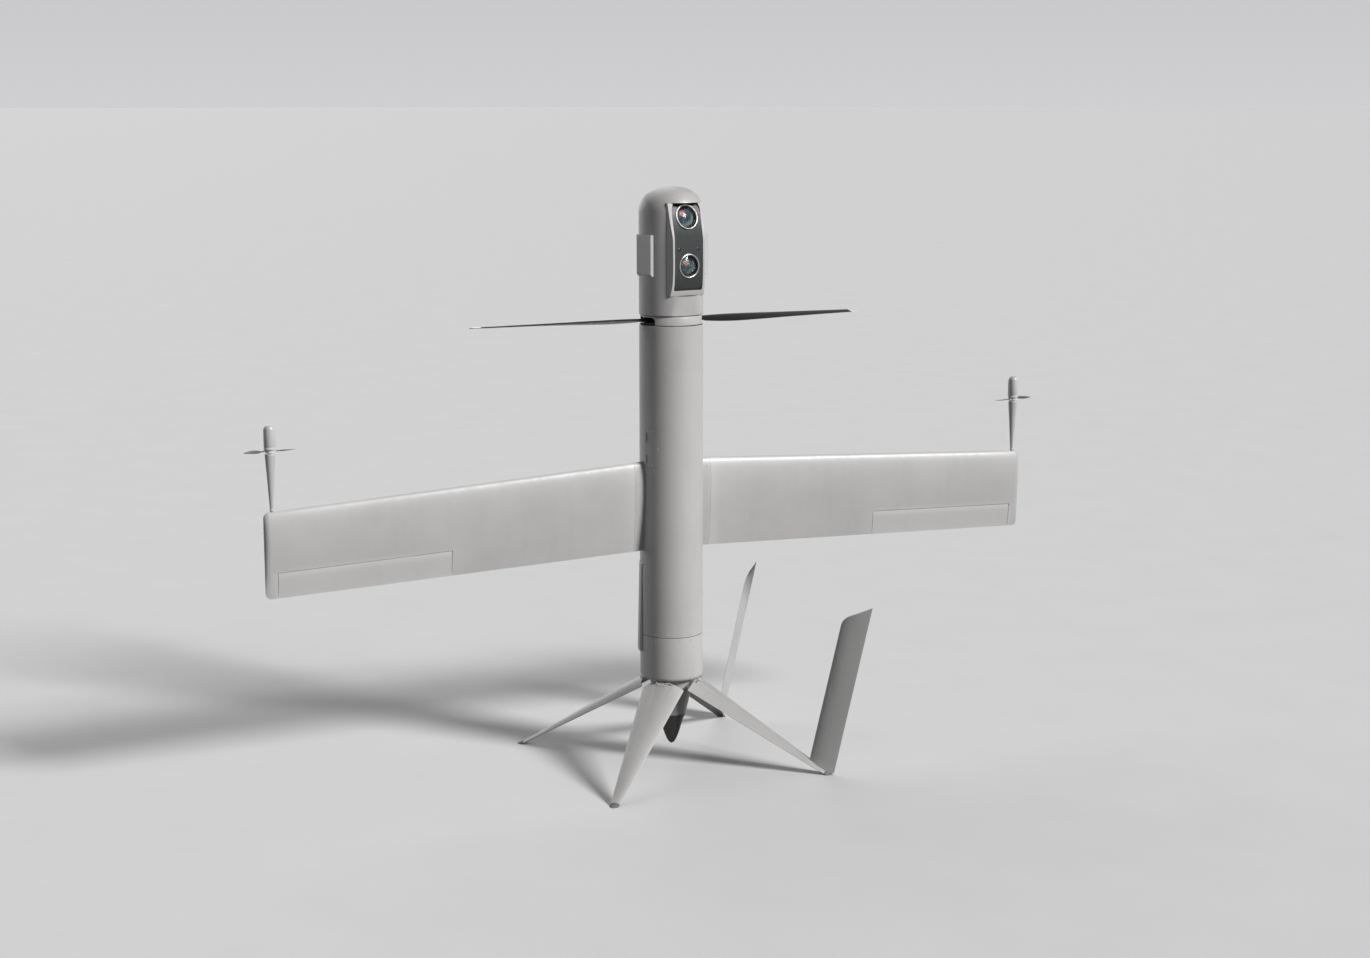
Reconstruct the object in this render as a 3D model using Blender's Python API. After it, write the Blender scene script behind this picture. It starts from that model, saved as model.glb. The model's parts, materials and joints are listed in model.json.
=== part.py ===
"""Tail-sitting winged drone, standing on four folding tail legs.

Metres, +Z up along the fuselage axis. The origin is on the ground under that axis,
-Y is the belly side, +X is the right wing. An azimuth is measured from the belly (-Y)
towards the right wing (+X).
"""
import math

import bmesh
import bpy
from mathutils import Vector

for old in list(bpy.data.objects):
    bpy.data.objects.remove(old, do_unlink=True)

# ---------------------------------------------------------------- driving dimensions
ROUND = 40              # sides of the large round pieces
MEDIUM = 24             # sides of the middle-sized ones
SMALL = 12              # sides of pins and shafts
GAP = 0.0005            # clearance between neighbouring pieces

BODY_R = 0.114          # fuselage
SKIN = 0.0025
TAIL_BOTTOM = 0.317
TAIL_FILLET = 0.015
TAIL_SEAM = 0.4808
SHELL_TOP = 1.606
TAIL_CONE = ((0.0800, 0.3168), (0.0667, 0.2410), (0.0521, 0.1768))      # radius, height
TAIL_CONE_WALL = 0.003
BULKHEAD_R = 0.111

HATCH_AZ = (-76.7, -47.0)
HATCH_Z = (1.10, 1.24)
HATCH_HINGE_AZ = -77.5
HATCH_HINGE_R = 0.1160
HATCH_PIN_R = 0.0014
HATCH_LEAVES = ((1.115, 1.145), (1.195, 1.225))     # heights of the two hinge leaves

FAIRING_Z = (0.429, 0.746)
FAIRING_INNER_Z = 0.418
FAIRING_HEIGHT = (0.0092, 0.0026)
FAIRING_WALL = 0.002
FAIRING_SEAT = 0.0006           # how far its foot stands off the fuselage
FAIRING_HALF_ANGLE = 88.0

HALF_SPAN = 1.5         # wing
LEAD_ROOT = 1.1233
LEAD_SLOPE = -0.0526
TRAIL_ROOT = 0.7956
TRAIL_SLOPE = -0.0314
WING_THICKNESS = 0.12
AIRFOIL_POINTS = 10
FITTING_START = 0.100
FITTING_END = 0.151
CUFF_END = 0.119                # raised cuff around the fitting, next to the fuselage
CUFF_RISE = 0.0012
PANEL_START = 0.1515
TIP_RADIUS = 0.020
SOCKET_R = 0.0046               # hole in the tip for the thruster boom's spigot

SPAR_Z = 1.02
SPAR_R = 0.0115
SPAR_WALL = 0.002
SPAR_END = 0.78
SPAR_HOLE_R = 0.0120

HINGE_SPAN = (0.842, 1.4585)    # aileron bay and its hinge line
HINGE_Z = (0.8575, 0.8366)
AILERON_END_GAP = 0.0015
AILERON_GAP = 0.0008
AILERON_LIP = 0.002

THRUSTER_X = 1.4707
PROP_Z = 1.2495
FOLD_X = 0.0175
BLADE_BARREL_R = 0.0030
RIGHT_PROP_TURN = 14.0

RING_R = 0.110          # rotor
RING_Z = (1.6085, 1.6395)
RING_OPENING = 33.0
ROTOR_Z = 1.624
HUB_R = 0.024
HUB_Z = (1.612, 1.636)
SPINDLE_R = 0.006
SPINDLE_END = 0.056
BLADE_CUFF_R = 0.0115
BLADE_CUFF = (0.030, 0.108)
MAST_R = 0.010
MAST_BORE_R = 0.0075
MAST_FLANGE_R = 0.0165
SHAFT_R = 0.016
SHAFT_BORE_R = 0.0125
SHAFT_Z = (1.4500, 1.6115)
SWASH_Z = 1.575
SWASH_SLEEVE_R = 0.021
SWASH_PLATE_R = 0.034
FRONT_BULKHEAD_Z = (1.4985, 1.5015)

GEAR_Z = (1.462, 1.474)
GEAR_MODULE = 0.0019
MAIN_TEETH = 48
PINION_TEETH = 16
CRANK_Y = GEAR_MODULE * (MAIN_TEETH + PINION_TEETH) / 2

ENGINE_MOUNT_Z = (1.4370, 1.4410)       # engine, tank and avionics inside the fuselage
CRANK_R = 0.004
CRANK_Z = (1.400, 1.478)
CRANKCASE_R = 0.034
CRANKCASE_Z = (1.330, 1.4365)
CYLINDER_R = 0.024
CYLINDER_FIN_R = 0.031
CYLINDER_FINS = 4
CYLINDER_FIN_PITCH = 0.015
CYLINDER_FIN_THICKNESS = 0.005
CYLINDER_LENGTH = 0.080
CYLINDER_Z = 1.382
TANK_R = 0.098
TANK_NECK_R = (0.010, 0.014)
AVIONICS_HALF = (0.055, 0.060)
AVIONICS_Z = (1.060, 1.240)
AVIONICS_CORNER = 0.008

HEAD_TURN = 8.5         # sensor head
HEAD_R = 0.1145
HEAD_WALL = 0.003
HEAD_BOTTOM = 1.6425
DOME_BASE = 2.0
DOME_HEIGHT = 0.092
DOME_POWER = 2.35
CHIN_HALF = (0.0695, 0.055)     # at its top and at its foot
CHIN_FRONT = (-0.108, -0.100)
CHIN_BACK = -0.085
BEZEL_HALF = 0.0765             # at its foot; its sides lean in towards the front
BEZEL_FRONT_HALF = 0.0670
BEZEL_Z = (1.7135, 2.0370)
BEZEL_BACK = 0.078
OPENING_HALF = 0.0598
OPENING_BOTTOM = 1.731
ARCH_R = (0.020, 0.034)
ARCH_BASE = 2.007
WINDOW_BACK = 0.060
UPPER_LENS = (0.0975, 1.989, 17.0, 0.0445)      # forward, height, tilt, ring radius
LOWER_LENS = (0.1134, 1.8185, 0.0, 0.0420)
POD_HALF = 0.046
POD_Z = (1.780, 1.925)
POD_REACH = {"left": 0.117, "right": 0.131}

LEG_AZ = {"front_right": 45.0, "rear_right": 135.0, "rear_left": -135.0, "front_left": -45.0}
LEG_PIN = (0.106, 0.3075)
LEG_OPEN = 66.7
LEG_HALF_ANGLE = 44.5
LEG_TOP = (0.112, 0.3145)
LEG_TIP = (0.0252, -0.2520)
LEG_WALL = 0.003
FOOT_INNER = 0.0165
EAR_SIDES = (0.0155, 0.0205)    # the bulkhead's pin lugs, across the pin
EAR_R = 0.0045
LEG_PIN_R = 0.0028
LEG_BORE_R = 0.0033
KNUCKLE_R = 0.0059
KNUCKLE_HALF = 0.0150

FIN_TOP = (0.5930, 0.6245)      # heights of a fin's nose and tail edge
FIN_LEAN_HEIGHT = 0.62
FIN_THICKNESS = 0.0115
FIN_FOOT_Z = 0.0056

PAINT = (0.50, 0.50, 0.49)
WING_PAINT = (0.46, 0.46, 0.46)
FIN_PAINT = (0.40, 0.40, 0.39)
DARK = (0.03, 0.03, 0.032)
CARBON = (0.02, 0.02, 0.022)
ALUMINIUM = (0.62, 0.63, 0.65)
STEEL = (0.45, 0.45, 0.47)


# ---------------------------------------------------------------- shapes
# A shape is a pair: a list of points and a list of faces over them.
def polar(radius, azimuth):
    angle = math.radians(azimuth)
    return radius * math.sin(angle), -radius * math.cos(angle)


def blend(pair, share):
    return pair[0] + (pair[1] - pair[0]) * share


def loft(sections):
    """Join rings of equal length and cap the two ends."""
    count = len(sections[0])
    points = [point for section in sections for point in section]
    faces = []
    for row in range(len(sections) - 1):
        here = row * count
        there = here + count
        for i in range(count):
            j = (i + 1) % count
            faces.append((here + i, here + j, there + j, there + i))
    faces.append(tuple(reversed(range(count))))
    faces.append(tuple(range(len(points) - count, len(points))))
    return points, faces


def lathe(profile, sides=ROUND):
    """Turn a closed (radius, height) outline about Z; points on the axis stay single."""
    points = []
    rings = []
    for radius, height in profile:
        if radius < 1e-6:
            rings.append([len(points)])
            points.append((0.0, 0.0, height))
            continue
        rings.append(list(range(len(points), len(points) + sides)))
        for side in range(sides):
            angle = 2 * math.pi * side / sides
            points.append((radius * math.cos(angle), radius * math.sin(angle), height))
    faces = []
    for low, high in zip(rings, rings[1:] + rings[:1]):
        for i in range(sides):
            j = (i + 1) % sides
            if len(low) > 1 and len(high) > 1:
                faces.append((low[i], low[j], high[j], high[i]))
            elif len(low) > 1:
                faces.append((low[i], low[j], high[0]))
            elif len(high) > 1:
                faces.append((low[0], high[j], high[i]))
    return points, faces


def extrude(outline, start, end, axis):
    """Push a flat outline along X, Y or Z; its pairs are the other two coordinates in order."""
    sections = []
    for place in (start, end):
        section = []
        for first, second in outline:
            point = [first, second]
            point.insert("XYZ".index(axis), place)
            section.append(tuple(point))
        sections.append(section)
    return loft(sections)


def box(low, high):
    outline = [(low[0], low[1]), (high[0], low[1]), (high[0], high[1]), (low[0], high[1])]
    return extrude(outline, low[2], high[2], "Z")


def rod(start, end, radius, sides=SMALL):
    """Round bar between two points."""
    start = Vector(start)
    end = Vector(end)
    along = (end - start).normalized()
    side = along.orthogonal().normalized()
    other = along.cross(side)
    sections = []
    for centre in (start, end):
        ring = []
        for i in range(sides):
            angle = 2 * math.pi * i / sides
            ring.append(tuple(centre + radius * (math.cos(angle) * side + math.sin(angle) * other)))
        sections.append(ring)
    return loft(sections)


def tube_outline(inner, outer, low, high):
    return [(outer, low), (outer, high), (inner, high), (inner, low)]


def sector(inner, outer, azimuths, low, high, steps):
    """Part of a tube wall between two azimuths."""
    sections = []
    for step in range(steps + 1):
        azimuth = blend(azimuths, step / steps)
        section = []
        for radius, height in tube_outline(inner, outer, low, high):
            section.append((*polar(radius, azimuth), height))
        sections.append(section)
    return loft(sections)


def oval(centre, width, thickness, pitch, sides=8):
    """Flattened ring across X, turned by pitch degrees so that its +Y edge rises."""
    turn = math.radians(pitch)
    ring = []
    for i in range(sides):
        angle = 2 * math.pi * i / sides
        y = width / 2 * math.cos(angle)
        z = thickness / 2 * math.sin(angle)
        ring.append((
            centre[0],
            centre[1] + y * math.cos(turn) - z * math.sin(turn),
            centre[2] + y * math.sin(turn) + z * math.cos(turn),
        ))
    return ring


def moved(shape, place):
    """Send every point of a shape through the function place."""
    points, faces = shape
    return [place(point) for point in points], faces


# ---------------------------------------------------------------- objects
def raw_object(name, shape):
    mesh = bpy.data.meshes.new(name)
    mesh.from_pydata(shape[0], [], shape[1])
    work = bmesh.new()
    work.from_mesh(mesh)
    bmesh.ops.recalc_face_normals(work, faces=work.faces)
    work.to_mesh(mesh)
    work.free()
    result = bpy.data.objects.new(name, mesh)
    bpy.context.scene.collection.objects.link(result)
    return result


def combine(target, operation, shape):
    """Apply one Boolean between an object and a shape."""
    tool = raw_object("tool", shape)
    modifier = target.modifiers.new(operation, "BOOLEAN")
    modifier.operation = operation
    modifier.solver = "EXACT"
    modifier.object = tool
    depsgraph = bpy.context.evaluated_depsgraph_get()
    result = bpy.data.meshes.new_from_object(target.evaluated_get(depsgraph))
    target.modifiers.clear()
    spent = target.data
    target.data = result
    bpy.data.meshes.remove(spent)
    bpy.data.objects.remove(tool, do_unlink=True)


def piece(name, shape, colour, roughness=0.5, metallic=0.0, parent=None, rotation=(0, 0, 0),
          adds=(), cuts=(), keeps=()):
    """Make one named sub-part from a shape, the shapes added to it and those cut from it."""
    made = raw_object(name, shape)
    for tool in adds:
        combine(made, "UNION", tool)
    for tool in keeps:
        combine(made, "INTERSECT", tool)
    for tool in cuts:
        combine(made, "DIFFERENCE", tool)
    made.data.name = name
    made.data.shade_smooth()
    made.data.set_sharp_from_angle(angle=math.radians(32))
    material = bpy.data.materials.new(name)
    material.use_nodes = True
    shader = material.node_tree.nodes["Principled BSDF"]
    shader.inputs["Base Color"].default_value = (*colour, 1.0)
    shader.inputs["Roughness"].default_value = roughness
    shader.inputs["Metallic"].default_value = metallic
    made.data.materials.clear()
    made.data.materials.append(material)
    made.parent = parent
    made.rotation_euler = rotation
    return made


def pivot(name, location, turn=0.0, parent=None):
    """Empty on a joint's axis, turned about Z by degrees."""
    empty = bpy.data.objects.new(name, None)
    bpy.context.scene.collection.objects.link(empty)
    empty.location = location
    empty.rotation_euler = (0.0, 0.0, math.radians(turn))
    empty.parent = parent
    return empty


# ---------------------------------------------------------------- fuselage
def build_fuselage():
    hatch_hole = sector(
        BODY_R - 3 * SKIN, BODY_R + 3 * SKIN, (HATCH_AZ[0] - 0.3, HATCH_AZ[1] + 0.3),
        HATCH_Z[0] - GAP, HATCH_Z[1] + GAP, 6)
    spar_hole = rod((-0.2, 0, SPAR_Z), (0.2, 0, SPAR_Z), SPAR_HOLE_R, MEDIUM)
    shell = lathe(tube_outline(BODY_R - SKIN, BODY_R, TAIL_SEAM + GAP, SHELL_TOP))
    piece("fuselage_shell", shell, PAINT, 0.42, cuts=(hatch_hole, spar_hole))

    profile = [(BODY_R, TAIL_SEAM)]
    steps = 3
    rim_r = BODY_R - TAIL_FILLET
    rim_z = TAIL_BOTTOM + TAIL_FILLET
    for step in range(steps + 1):
        angle = math.radians(90 * step / steps)
        profile.append((rim_r + TAIL_FILLET * math.cos(angle), rim_z - TAIL_FILLET * math.sin(angle)))
    for step in range(steps + 1):
        angle = math.radians(90 - 90 * step / steps)
        inner = TAIL_FILLET - SKIN
        profile.append((rim_r + inner * math.cos(angle), rim_z - inner * math.sin(angle)))
    profile.append((BODY_R - SKIN, TAIL_SEAM))
    piece("tail_section", lathe(profile), PAINT, 0.42)

    cone = list(TAIL_CONE)
    inside = [(radius - TAIL_CONE_WALL, height) for radius, height in reversed(cone)]
    piece("tail_cone", lathe(cone + inside, MEDIUM), PAINT, 0.45)
    tip = [
        (0.0520, 0.1763), (0.0374, 0.1360), (0.0300, 0.1100), (0.0208, 0.0850), (0.0110, 0.0670),
        (0.0, 0.0590),
    ]
    hollow = [(0.0, 0.0640), (0.0170, 0.0860), (0.0338, 0.1360), (0.0485, 0.1763)]
    piece("tail_cone_tip", lathe(tip + hollow, MEDIUM), DARK, 0.55)


def build_fairing():
    """Shallow scoop on the back whose lower end stays open as an air outlet."""
    edge = FAIRING_HALF_ANGLE
    stations = [(-edge, 0.55, True), (-edge + 1.2, 1.0, True), (-edge + 1.5, 1.0, False)]
    steps = 18
    for step in range(1, steps):
        stations.append((-edge + 1.5 + (2 * edge - 3.0) * step / steps, 1.0, False))
    stations += [(edge - 1.5, 1.0, False), (edge - 1.2, 1.0, True), (edge, 0.55, True)]
    sections = []
    foot = BODY_R + FAIRING_SEAT
    for angle, height, flange in stations:
        azimuth = 180.0 + angle
        bottom = foot + (FAIRING_HEIGHT[0] - FAIRING_SEAT) * height
        top = foot + (FAIRING_HEIGHT[1] - FAIRING_SEAT) * height
        under = foot if flange else max(foot, bottom - FAIRING_WALL)
        section = [
            (*polar(top, azimuth), FAIRING_Z[1]),
            (*polar(bottom, azimuth), FAIRING_Z[0]),
            (*polar(under, azimuth), FAIRING_INNER_Z),
            (*polar(foot, azimuth), FAIRING_Z[1] - 0.001),
        ]
        sections.append(section)
    piece("cooling_outlet_fairing", loft(sections), PAINT, 0.45)


def build_hatch():
    hinge = polar(HATCH_HINGE_R, HATCH_HINGE_AZ)
    door = pivot("hatch_hinge", (hinge[0], hinge[1], 0.0))

    def local(point):
        return point[0] - hinge[0], point[1] - hinge[1], point[2]

    panel = moved(sector(BODY_R - SKIN, BODY_R, HATCH_AZ, *HATCH_Z, 6), local)
    leaves = []
    for low, high in HATCH_LEAVES:
        strip = sector(BODY_R - SKIN / 2, HATCH_HINGE_R + 0.0008, (HATCH_AZ[0] + 0.05, -75.4), low, high, 1)
        leaves.append(moved(strip, local))
        tongue = sector(HATCH_HINGE_R - 0.0007, HATCH_HINGE_R + 0.0008, (-77.5, -75.6), low, high, 1)
        leaves.append(moved(tongue, local))
        leaves.append(rod((0, 0, low - 0.002), (0, 0, high + 0.002), HATCH_PIN_R, 10))
    piece("access_hatch", panel, PAINT, 0.42, parent=door, adds=leaves)


# ---------------------------------------------------------------- wing
def half_thickness(share):
    """Symmetric aerofoil's half thickness per chord at a share of the chord from its nose."""
    root = 0.2969 * math.sqrt(share)
    rest = -0.1260 * share - 0.3516 * share**2 + 0.2843 * share**3 - 0.1015 * share**4
    return 5 * WING_THICKNESS * (root + rest)


def wing_edges(span):
    return LEAD_ROOT + LEAD_SLOPE * span, TRAIL_ROOT + TRAIL_SLOPE * span


def wing_section(side, span, trim=0.0, thin=1.0, thicken=0.0):
    """Aerofoil ring at one span station, standing with its nose up."""
    lead, trail = wing_edges(span)
    lead -= trim
    trail += trim
    chord = lead - trail
    shares = []
    for i in range(AIRFOIL_POINTS + 1):
        shares.append((1 - math.cos(math.pi * i / AIRFOIL_POINTS)) / 2)
    ring = [(side * span, 0.0, lead + thicken)]
    for share in shares[1:]:
        ring.append((side * span, thin * chord * half_thickness(share) + thicken, lead - chord * share))
    for share in reversed(shares[1:]):
        ring.append((side * span, -thin * chord * half_thickness(share) - thicken, lead - chord * share))
    return ring


def hinge_at(span):
    """Height and half thickness of the wing at the aileron's hinge line."""
    share = (span - HINGE_SPAN[0]) / (HINGE_SPAN[1] - HINGE_SPAN[0])
    height = blend(HINGE_Z, share)
    lead, trail = wing_edges(span)
    chord = lead - trail
    return height, chord * half_thickness((lead - height) / chord)


def aileron_section(side, span):
    height, half = hinge_at(span)
    lead, trail = wing_edges(span)
    chord = lead - trail
    nose = half - AILERON_GAP
    ring = []
    steps = 8
    for step in range(steps + 1):
        angle = math.pi * step / steps
        ring.append((side * span, nose * math.cos(angle), height + nose * math.sin(angle)))
    hinge_share = (lead - height) / chord
    shares = [hinge_share + (1 - hinge_share) * part for part in (0.12, 0.4, 0.7, 1.0)]
    for share in shares:
        ring.append((side * span, -chord * half_thickness(share), lead - chord * share))
    for share in reversed(shares):
        ring.append((side * span, chord * half_thickness(share), lead - chord * share))
    return ring


def bay_section(side, span):
    """What the aileron needs taken out of the wing: a hollow nose and all behind it."""
    height, half = hinge_at(span)
    floor = wing_edges(span)[1] - 0.02
    wide = 0.03
    start = math.asin(AILERON_LIP / half)
    ring = [(side * span, wide, floor), (side * span, wide, height + AILERON_LIP)]
    steps = 10
    for step in range(steps + 1):
        angle = start + (math.pi - 2 * start) * step / steps
        ring.append((side * span, half * math.cos(angle), height + half * math.sin(angle)))
    ring += [(side * span, -wide, height + AILERON_LIP), (side * span, -wide, floor)]
    return ring


def build_wing(name, side):
    sections = [wing_section(side, PANEL_START), wing_section(side, HINGE_SPAN[0] - 0.01)]
    sections.append(wing_section(side, HINGE_SPAN[1] + 0.01))
    for share in (0.0, 0.50, 0.85, 0.985):
        trim = TIP_RADIUS * (1 - math.sqrt(1 - share**2))
        span = HALF_SPAN - TIP_RADIUS * (1 - share)
        sections.append(wing_section(side, span, trim, math.sqrt(1 - share**2) ** 0.8))
    sections.append(wing_section(side, HALF_SPAN, TIP_RADIUS * 0.95, 0.12))
    bay = loft([bay_section(side, HINGE_SPAN[0]), bay_section(side, HINGE_SPAN[1])])
    spar_hole = rod((0, 0, SPAR_Z), (side * (SPAR_END + 0.002), 0, SPAR_Z), SPAR_HOLE_R, MEDIUM)
    lead = wing_edges(THRUSTER_X)[0]
    socket = rod((side * THRUSTER_X, 0, lead - 0.050), (side * THRUSTER_X, 0, lead + 0.02), SOCKET_R)
    piece(name + "_wing", loft(sections), WING_PAINT, 0.45, cuts=(bay, spar_hole, socket))

    fitting = loft([wing_section(side, FITTING_START), wing_section(side, FITTING_END)])
    cuff = loft([wing_section(side, span, thicken=CUFF_RISE) for span in (FITTING_START, CUFF_END)])
    hull = rod((0, 0, 0.7), (0, 0, 1.2), BODY_R + 0.0010, ROUND)
    through = rod((0, 0, SPAR_Z), (side * 0.2, 0, SPAR_Z), SPAR_HOLE_R, MEDIUM)
    piece(name + "_wing_root_fitting", fitting, WING_PAINT, 0.45, adds=(cuff,), cuts=(hull, through))

    start = HINGE_SPAN[0] + AILERON_END_GAP
    end = HINGE_SPAN[1] - AILERON_END_GAP
    line = pivot(name + "_aileron_hinge", (side * start, 0.0, hinge_at(start)[0]))
    flap = loft([aileron_section(side, start), aileron_section(side, end)])

    def local(point):
        return point[0] - side * start, point[1], point[2] - hinge_at(start)[0]

    piece(name + "_aileron", moved(flap, local), WING_PAINT, 0.45, parent=line)


def build_spar():
    outer = rod((-SPAR_END, 0, SPAR_Z), (SPAR_END, 0, SPAR_Z), SPAR_R, MEDIUM)
    bore = rod((-1, 0, SPAR_Z), (1, 0, SPAR_Z), SPAR_R - SPAR_WALL, MEDIUM)
    piece("wing_spar", outer, CARBON, 0.35, cuts=(bore,))


# ---------------------------------------------------------------- wing-tip thrusters
def build_thruster(name, side, turn, handing):
    centre = (side * THRUSTER_X, 0.0, PROP_Z)
    mount = pivot(name + "_thruster_mount", centre)
    lead = wing_edges(THRUSTER_X)[0] - PROP_Z
    boom = [
        (0.0, lead - 0.049), (0.0040, lead - 0.049), (0.0040, lead + 0.0016), (0.0065, lead + 0.0026),
        (0.0065, lead + 0.0090), (0.0054, lead + 0.0100), (0.0112, -0.1000), (0.0170, -0.0115),
        (0.0160, -0.0085), (0.0, -0.0085),
    ]
    piece(name + "_thruster_boom", lathe(boom, MEDIUM), PAINT, 0.4, parent=mount)
    stator = [
        (0.0, -0.0080), (0.0060, -0.0080), (0.0060, 0.0090), (0.0120, 0.0090), (0.0120, 0.0500),
        (0.0060, 0.0520), (0.0, 0.0520),
    ]
    piece(name + "_thruster_motor", lathe(stator, 16), STEEL, 0.4, 0.8, parent=mount)

    spin = pivot(name + "_thruster_spin", centre, turn)
    can = [
        (0.0, 0.0883), (0.0080, 0.0872), (0.0145, 0.0835), (0.0185, 0.0765), (0.0195, 0.0690),
        (0.0195, 0.0060), (0.0170, 0.0043), (0.0138, 0.0043), (0.0138, -0.0055), (0.0078, -0.0055),
        (0.0078, 0.0075), (0.0155, 0.0075), (0.0155, 0.0655), (0.0, 0.0655),
    ]
    lugs = []
    for facing in (1, -1):
        for y in (-0.0058, 0.0040):
            near = facing * 0.0120
            far = facing * 0.0207
            lugs.append(box((min(near, far), y, -0.0034), (max(near, far), y + 0.0018, 0.0034)))
        lugs.append(rod((facing * FOLD_X, -0.0050, 0), (facing * FOLD_X, 0.0050, 0), 0.0011, 8))
    piece(name + "_thruster_spinner", lathe(can, MEDIUM), ALUMINIUM, 0.35, 0.6, parent=spin, adds=lugs)

    stations = (
        (0.0012, 0.0056, 0.0050, 0.0, 0.0000), (0.0100, 0.0105, 0.0030, 14, 0.0002),
        (0.0220, 0.0210, 0.0024, 20, 0.0012), (0.0360, 0.0255, 0.0021, 18, 0.0012),
        (0.0500, 0.0235, 0.0018, 15, -0.0006), (0.0620, 0.0170, 0.0015, 13, -0.0038),
        (0.0700, 0.0090, 0.0012, 12, -0.0070), (0.0725, 0.0030, 0.0009, 12, -0.0092),
    )
    for label, facing in (("a", 0.0), ("b", 180.0)):
        reach = FOLD_X if label == "a" else -FOLD_X
        fold = pivot(name + "_prop_fold_" + label, (reach, 0.0, 0.0), facing, spin)
        sections = []
        for x, width, thickness, pitch, sweep in stations:
            sections.append(oval((x, handing * sweep, 0.0), width, thickness, handing * pitch))
        barrel = rod((0, -0.0034, 0), (0, 0.0034, 0), BLADE_BARREL_R, 10)
        bore = rod((0, -0.01, 0), (0, 0.01, 0), 0.0015, 8)
        piece(name + "_prop_blade_" + label, loft(sections), (0.14, 0.14, 0.14), 0.5, parent=fold,
              adds=(barrel,), cuts=(bore,))


# ---------------------------------------------------------------- rotor and drive
def build_rotor():
    spin = pivot("rotor_spin", (0, 0, 0))
    low, high = RING_Z
    profile = [
        (0.0115, high - 0.003), (0.0115, high), (RING_R - 0.002, high), (RING_R, high - 0.002),
        (RING_R, low), (RING_R - SKIN, low), (RING_R - SKIN, high - 0.003),
    ]
    half = RING_R * math.sin(math.radians(RING_OPENING))
    top = high - 0.004
    corner = 0.014
    outline = [(half, low - 0.01)]
    steps = 4
    for step in range(steps + 1):
        angle = math.radians(90 * step / steps)
        outline.append((half - corner + corner * math.cos(angle), top - corner + corner * math.sin(angle)))
    outline += [(-y, z) for y, z in reversed(outline)]
    arch = extrude(outline, -0.2, 0.2, "X")
    piece("rotor_ring", lathe(profile), PAINT, 0.45, parent=spin, cuts=(arch,))

    hub = lathe([(0.0, HUB_Z[0]), (HUB_R, HUB_Z[0]), (HUB_R, HUB_Z[1]), (0.0, HUB_Z[1])], MEDIUM)
    spindle = rod((-SPINDLE_END, 0, ROTOR_Z), (SPINDLE_END, 0, ROTOR_Z), SPINDLE_R, 16)
    eye = rod((0, 0, 1.6), (0, 0, 1.65), MAST_R + GAP, MEDIUM)
    piece("rotor_hub", hub, ALUMINIUM, 0.35, 0.9, parent=spin, adds=(spindle,), cuts=(eye,))

    piece("rotor_shaft", lathe(tube_outline(SHAFT_BORE_R, SHAFT_R, *SHAFT_Z), MEDIUM), STEEL, 0.3, 1.0,
          parent=spin)
    piece("main_gear", gear(MAIN_TEETH, 90.0), STEEL, 0.35, 1.0, parent=spin,
          cuts=(rod((0, 0, 1.4), (0, 0, 1.5), SHAFT_R + 0.0003, MEDIUM),))

    slide = pivot("swashplate_slide", (0, 0, SWASH_Z), parent=spin)
    plate = [
        (SHAFT_R + GAP, -0.012), (SWASH_SLEEVE_R, -0.012), (SWASH_SLEEVE_R, -0.004), (SWASH_PLATE_R, -0.004),
        (SWASH_PLATE_R, 0.004), (SWASH_SLEEVE_R, 0.004), (SWASH_SLEEVE_R, 0.008), (SHAFT_R + GAP, 0.008),
    ]
    ears = []
    for start in (-0.042, 0.030):
        ears.append(box((-0.004, start, -0.003), (0.004, start + 0.012, 0.003)))
    piece("swashplate", lathe(plate, MEDIUM), ALUMINIUM, 0.35, 0.9, parent=slide, adds=ears)

    for name, turn in (("right", 0.0), ("left", 180.0)):
        pitch = pivot(name + "_blade_pitch", (0, 0, ROTOR_Z), turn, spin)
        build_blade(name + "_rotor_blade", pitch)


def build_blade(name, parent):
    """Rotor blade with its cuff, along +X of its pitch axis, nose towards +Y."""
    stations = (
        (0.1020, 0.018, 0.80, 23.0), (0.1180, 0.030, 0.38, 23.0), (0.1320, 0.040, 0.17, 23.0),
        (0.2200, 0.058, 0.12, 20.5), (0.3200, 0.062, 0.12, 16.5), (0.4700, 0.056, 0.12, 12.0),
        (0.6200, 0.049, 0.12, 8.5), (0.7400, 0.043, 0.11, 6.2), (0.7560, 0.036, 0.10, 6.0),
        (0.7600, 0.022, 0.09, 6.0),
    )
    shares = (0.0, 0.06, 0.22, 0.45, 0.75, 1.0)
    sections = []
    for x, chord, thickness, pitch in stations:
        turn = math.radians(pitch)
        edge = [(share, half_thickness(share) / WING_THICKNESS * thickness) for share in shares]
        outline = [(share, half) for share, half in edge]
        outline += [(share, -half) for share, half in reversed(edge[1:])]
        ring = []
        for share, half in outline:
            y = (0.32 - share) * chord
            z = half * chord
            ring.append((x, y * math.cos(turn) - z * math.sin(turn), y * math.sin(turn) + z * math.cos(turn)))
        sections.append(ring)
    cuff = rod((BLADE_CUFF[0], 0, 0), (BLADE_CUFF[1], 0, 0), BLADE_CUFF_R, 16)
    bore = rod((0.02, 0, 0), (0.058, 0, 0), 0.0065, 16)
    horn = box((0.034, 0.006, -0.003), (0.042, 0.0265, 0.003))
    piece(name, loft(sections), CARBON, 0.35, parent=parent, adds=(cuff, horn), cuts=(bore,))


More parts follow.
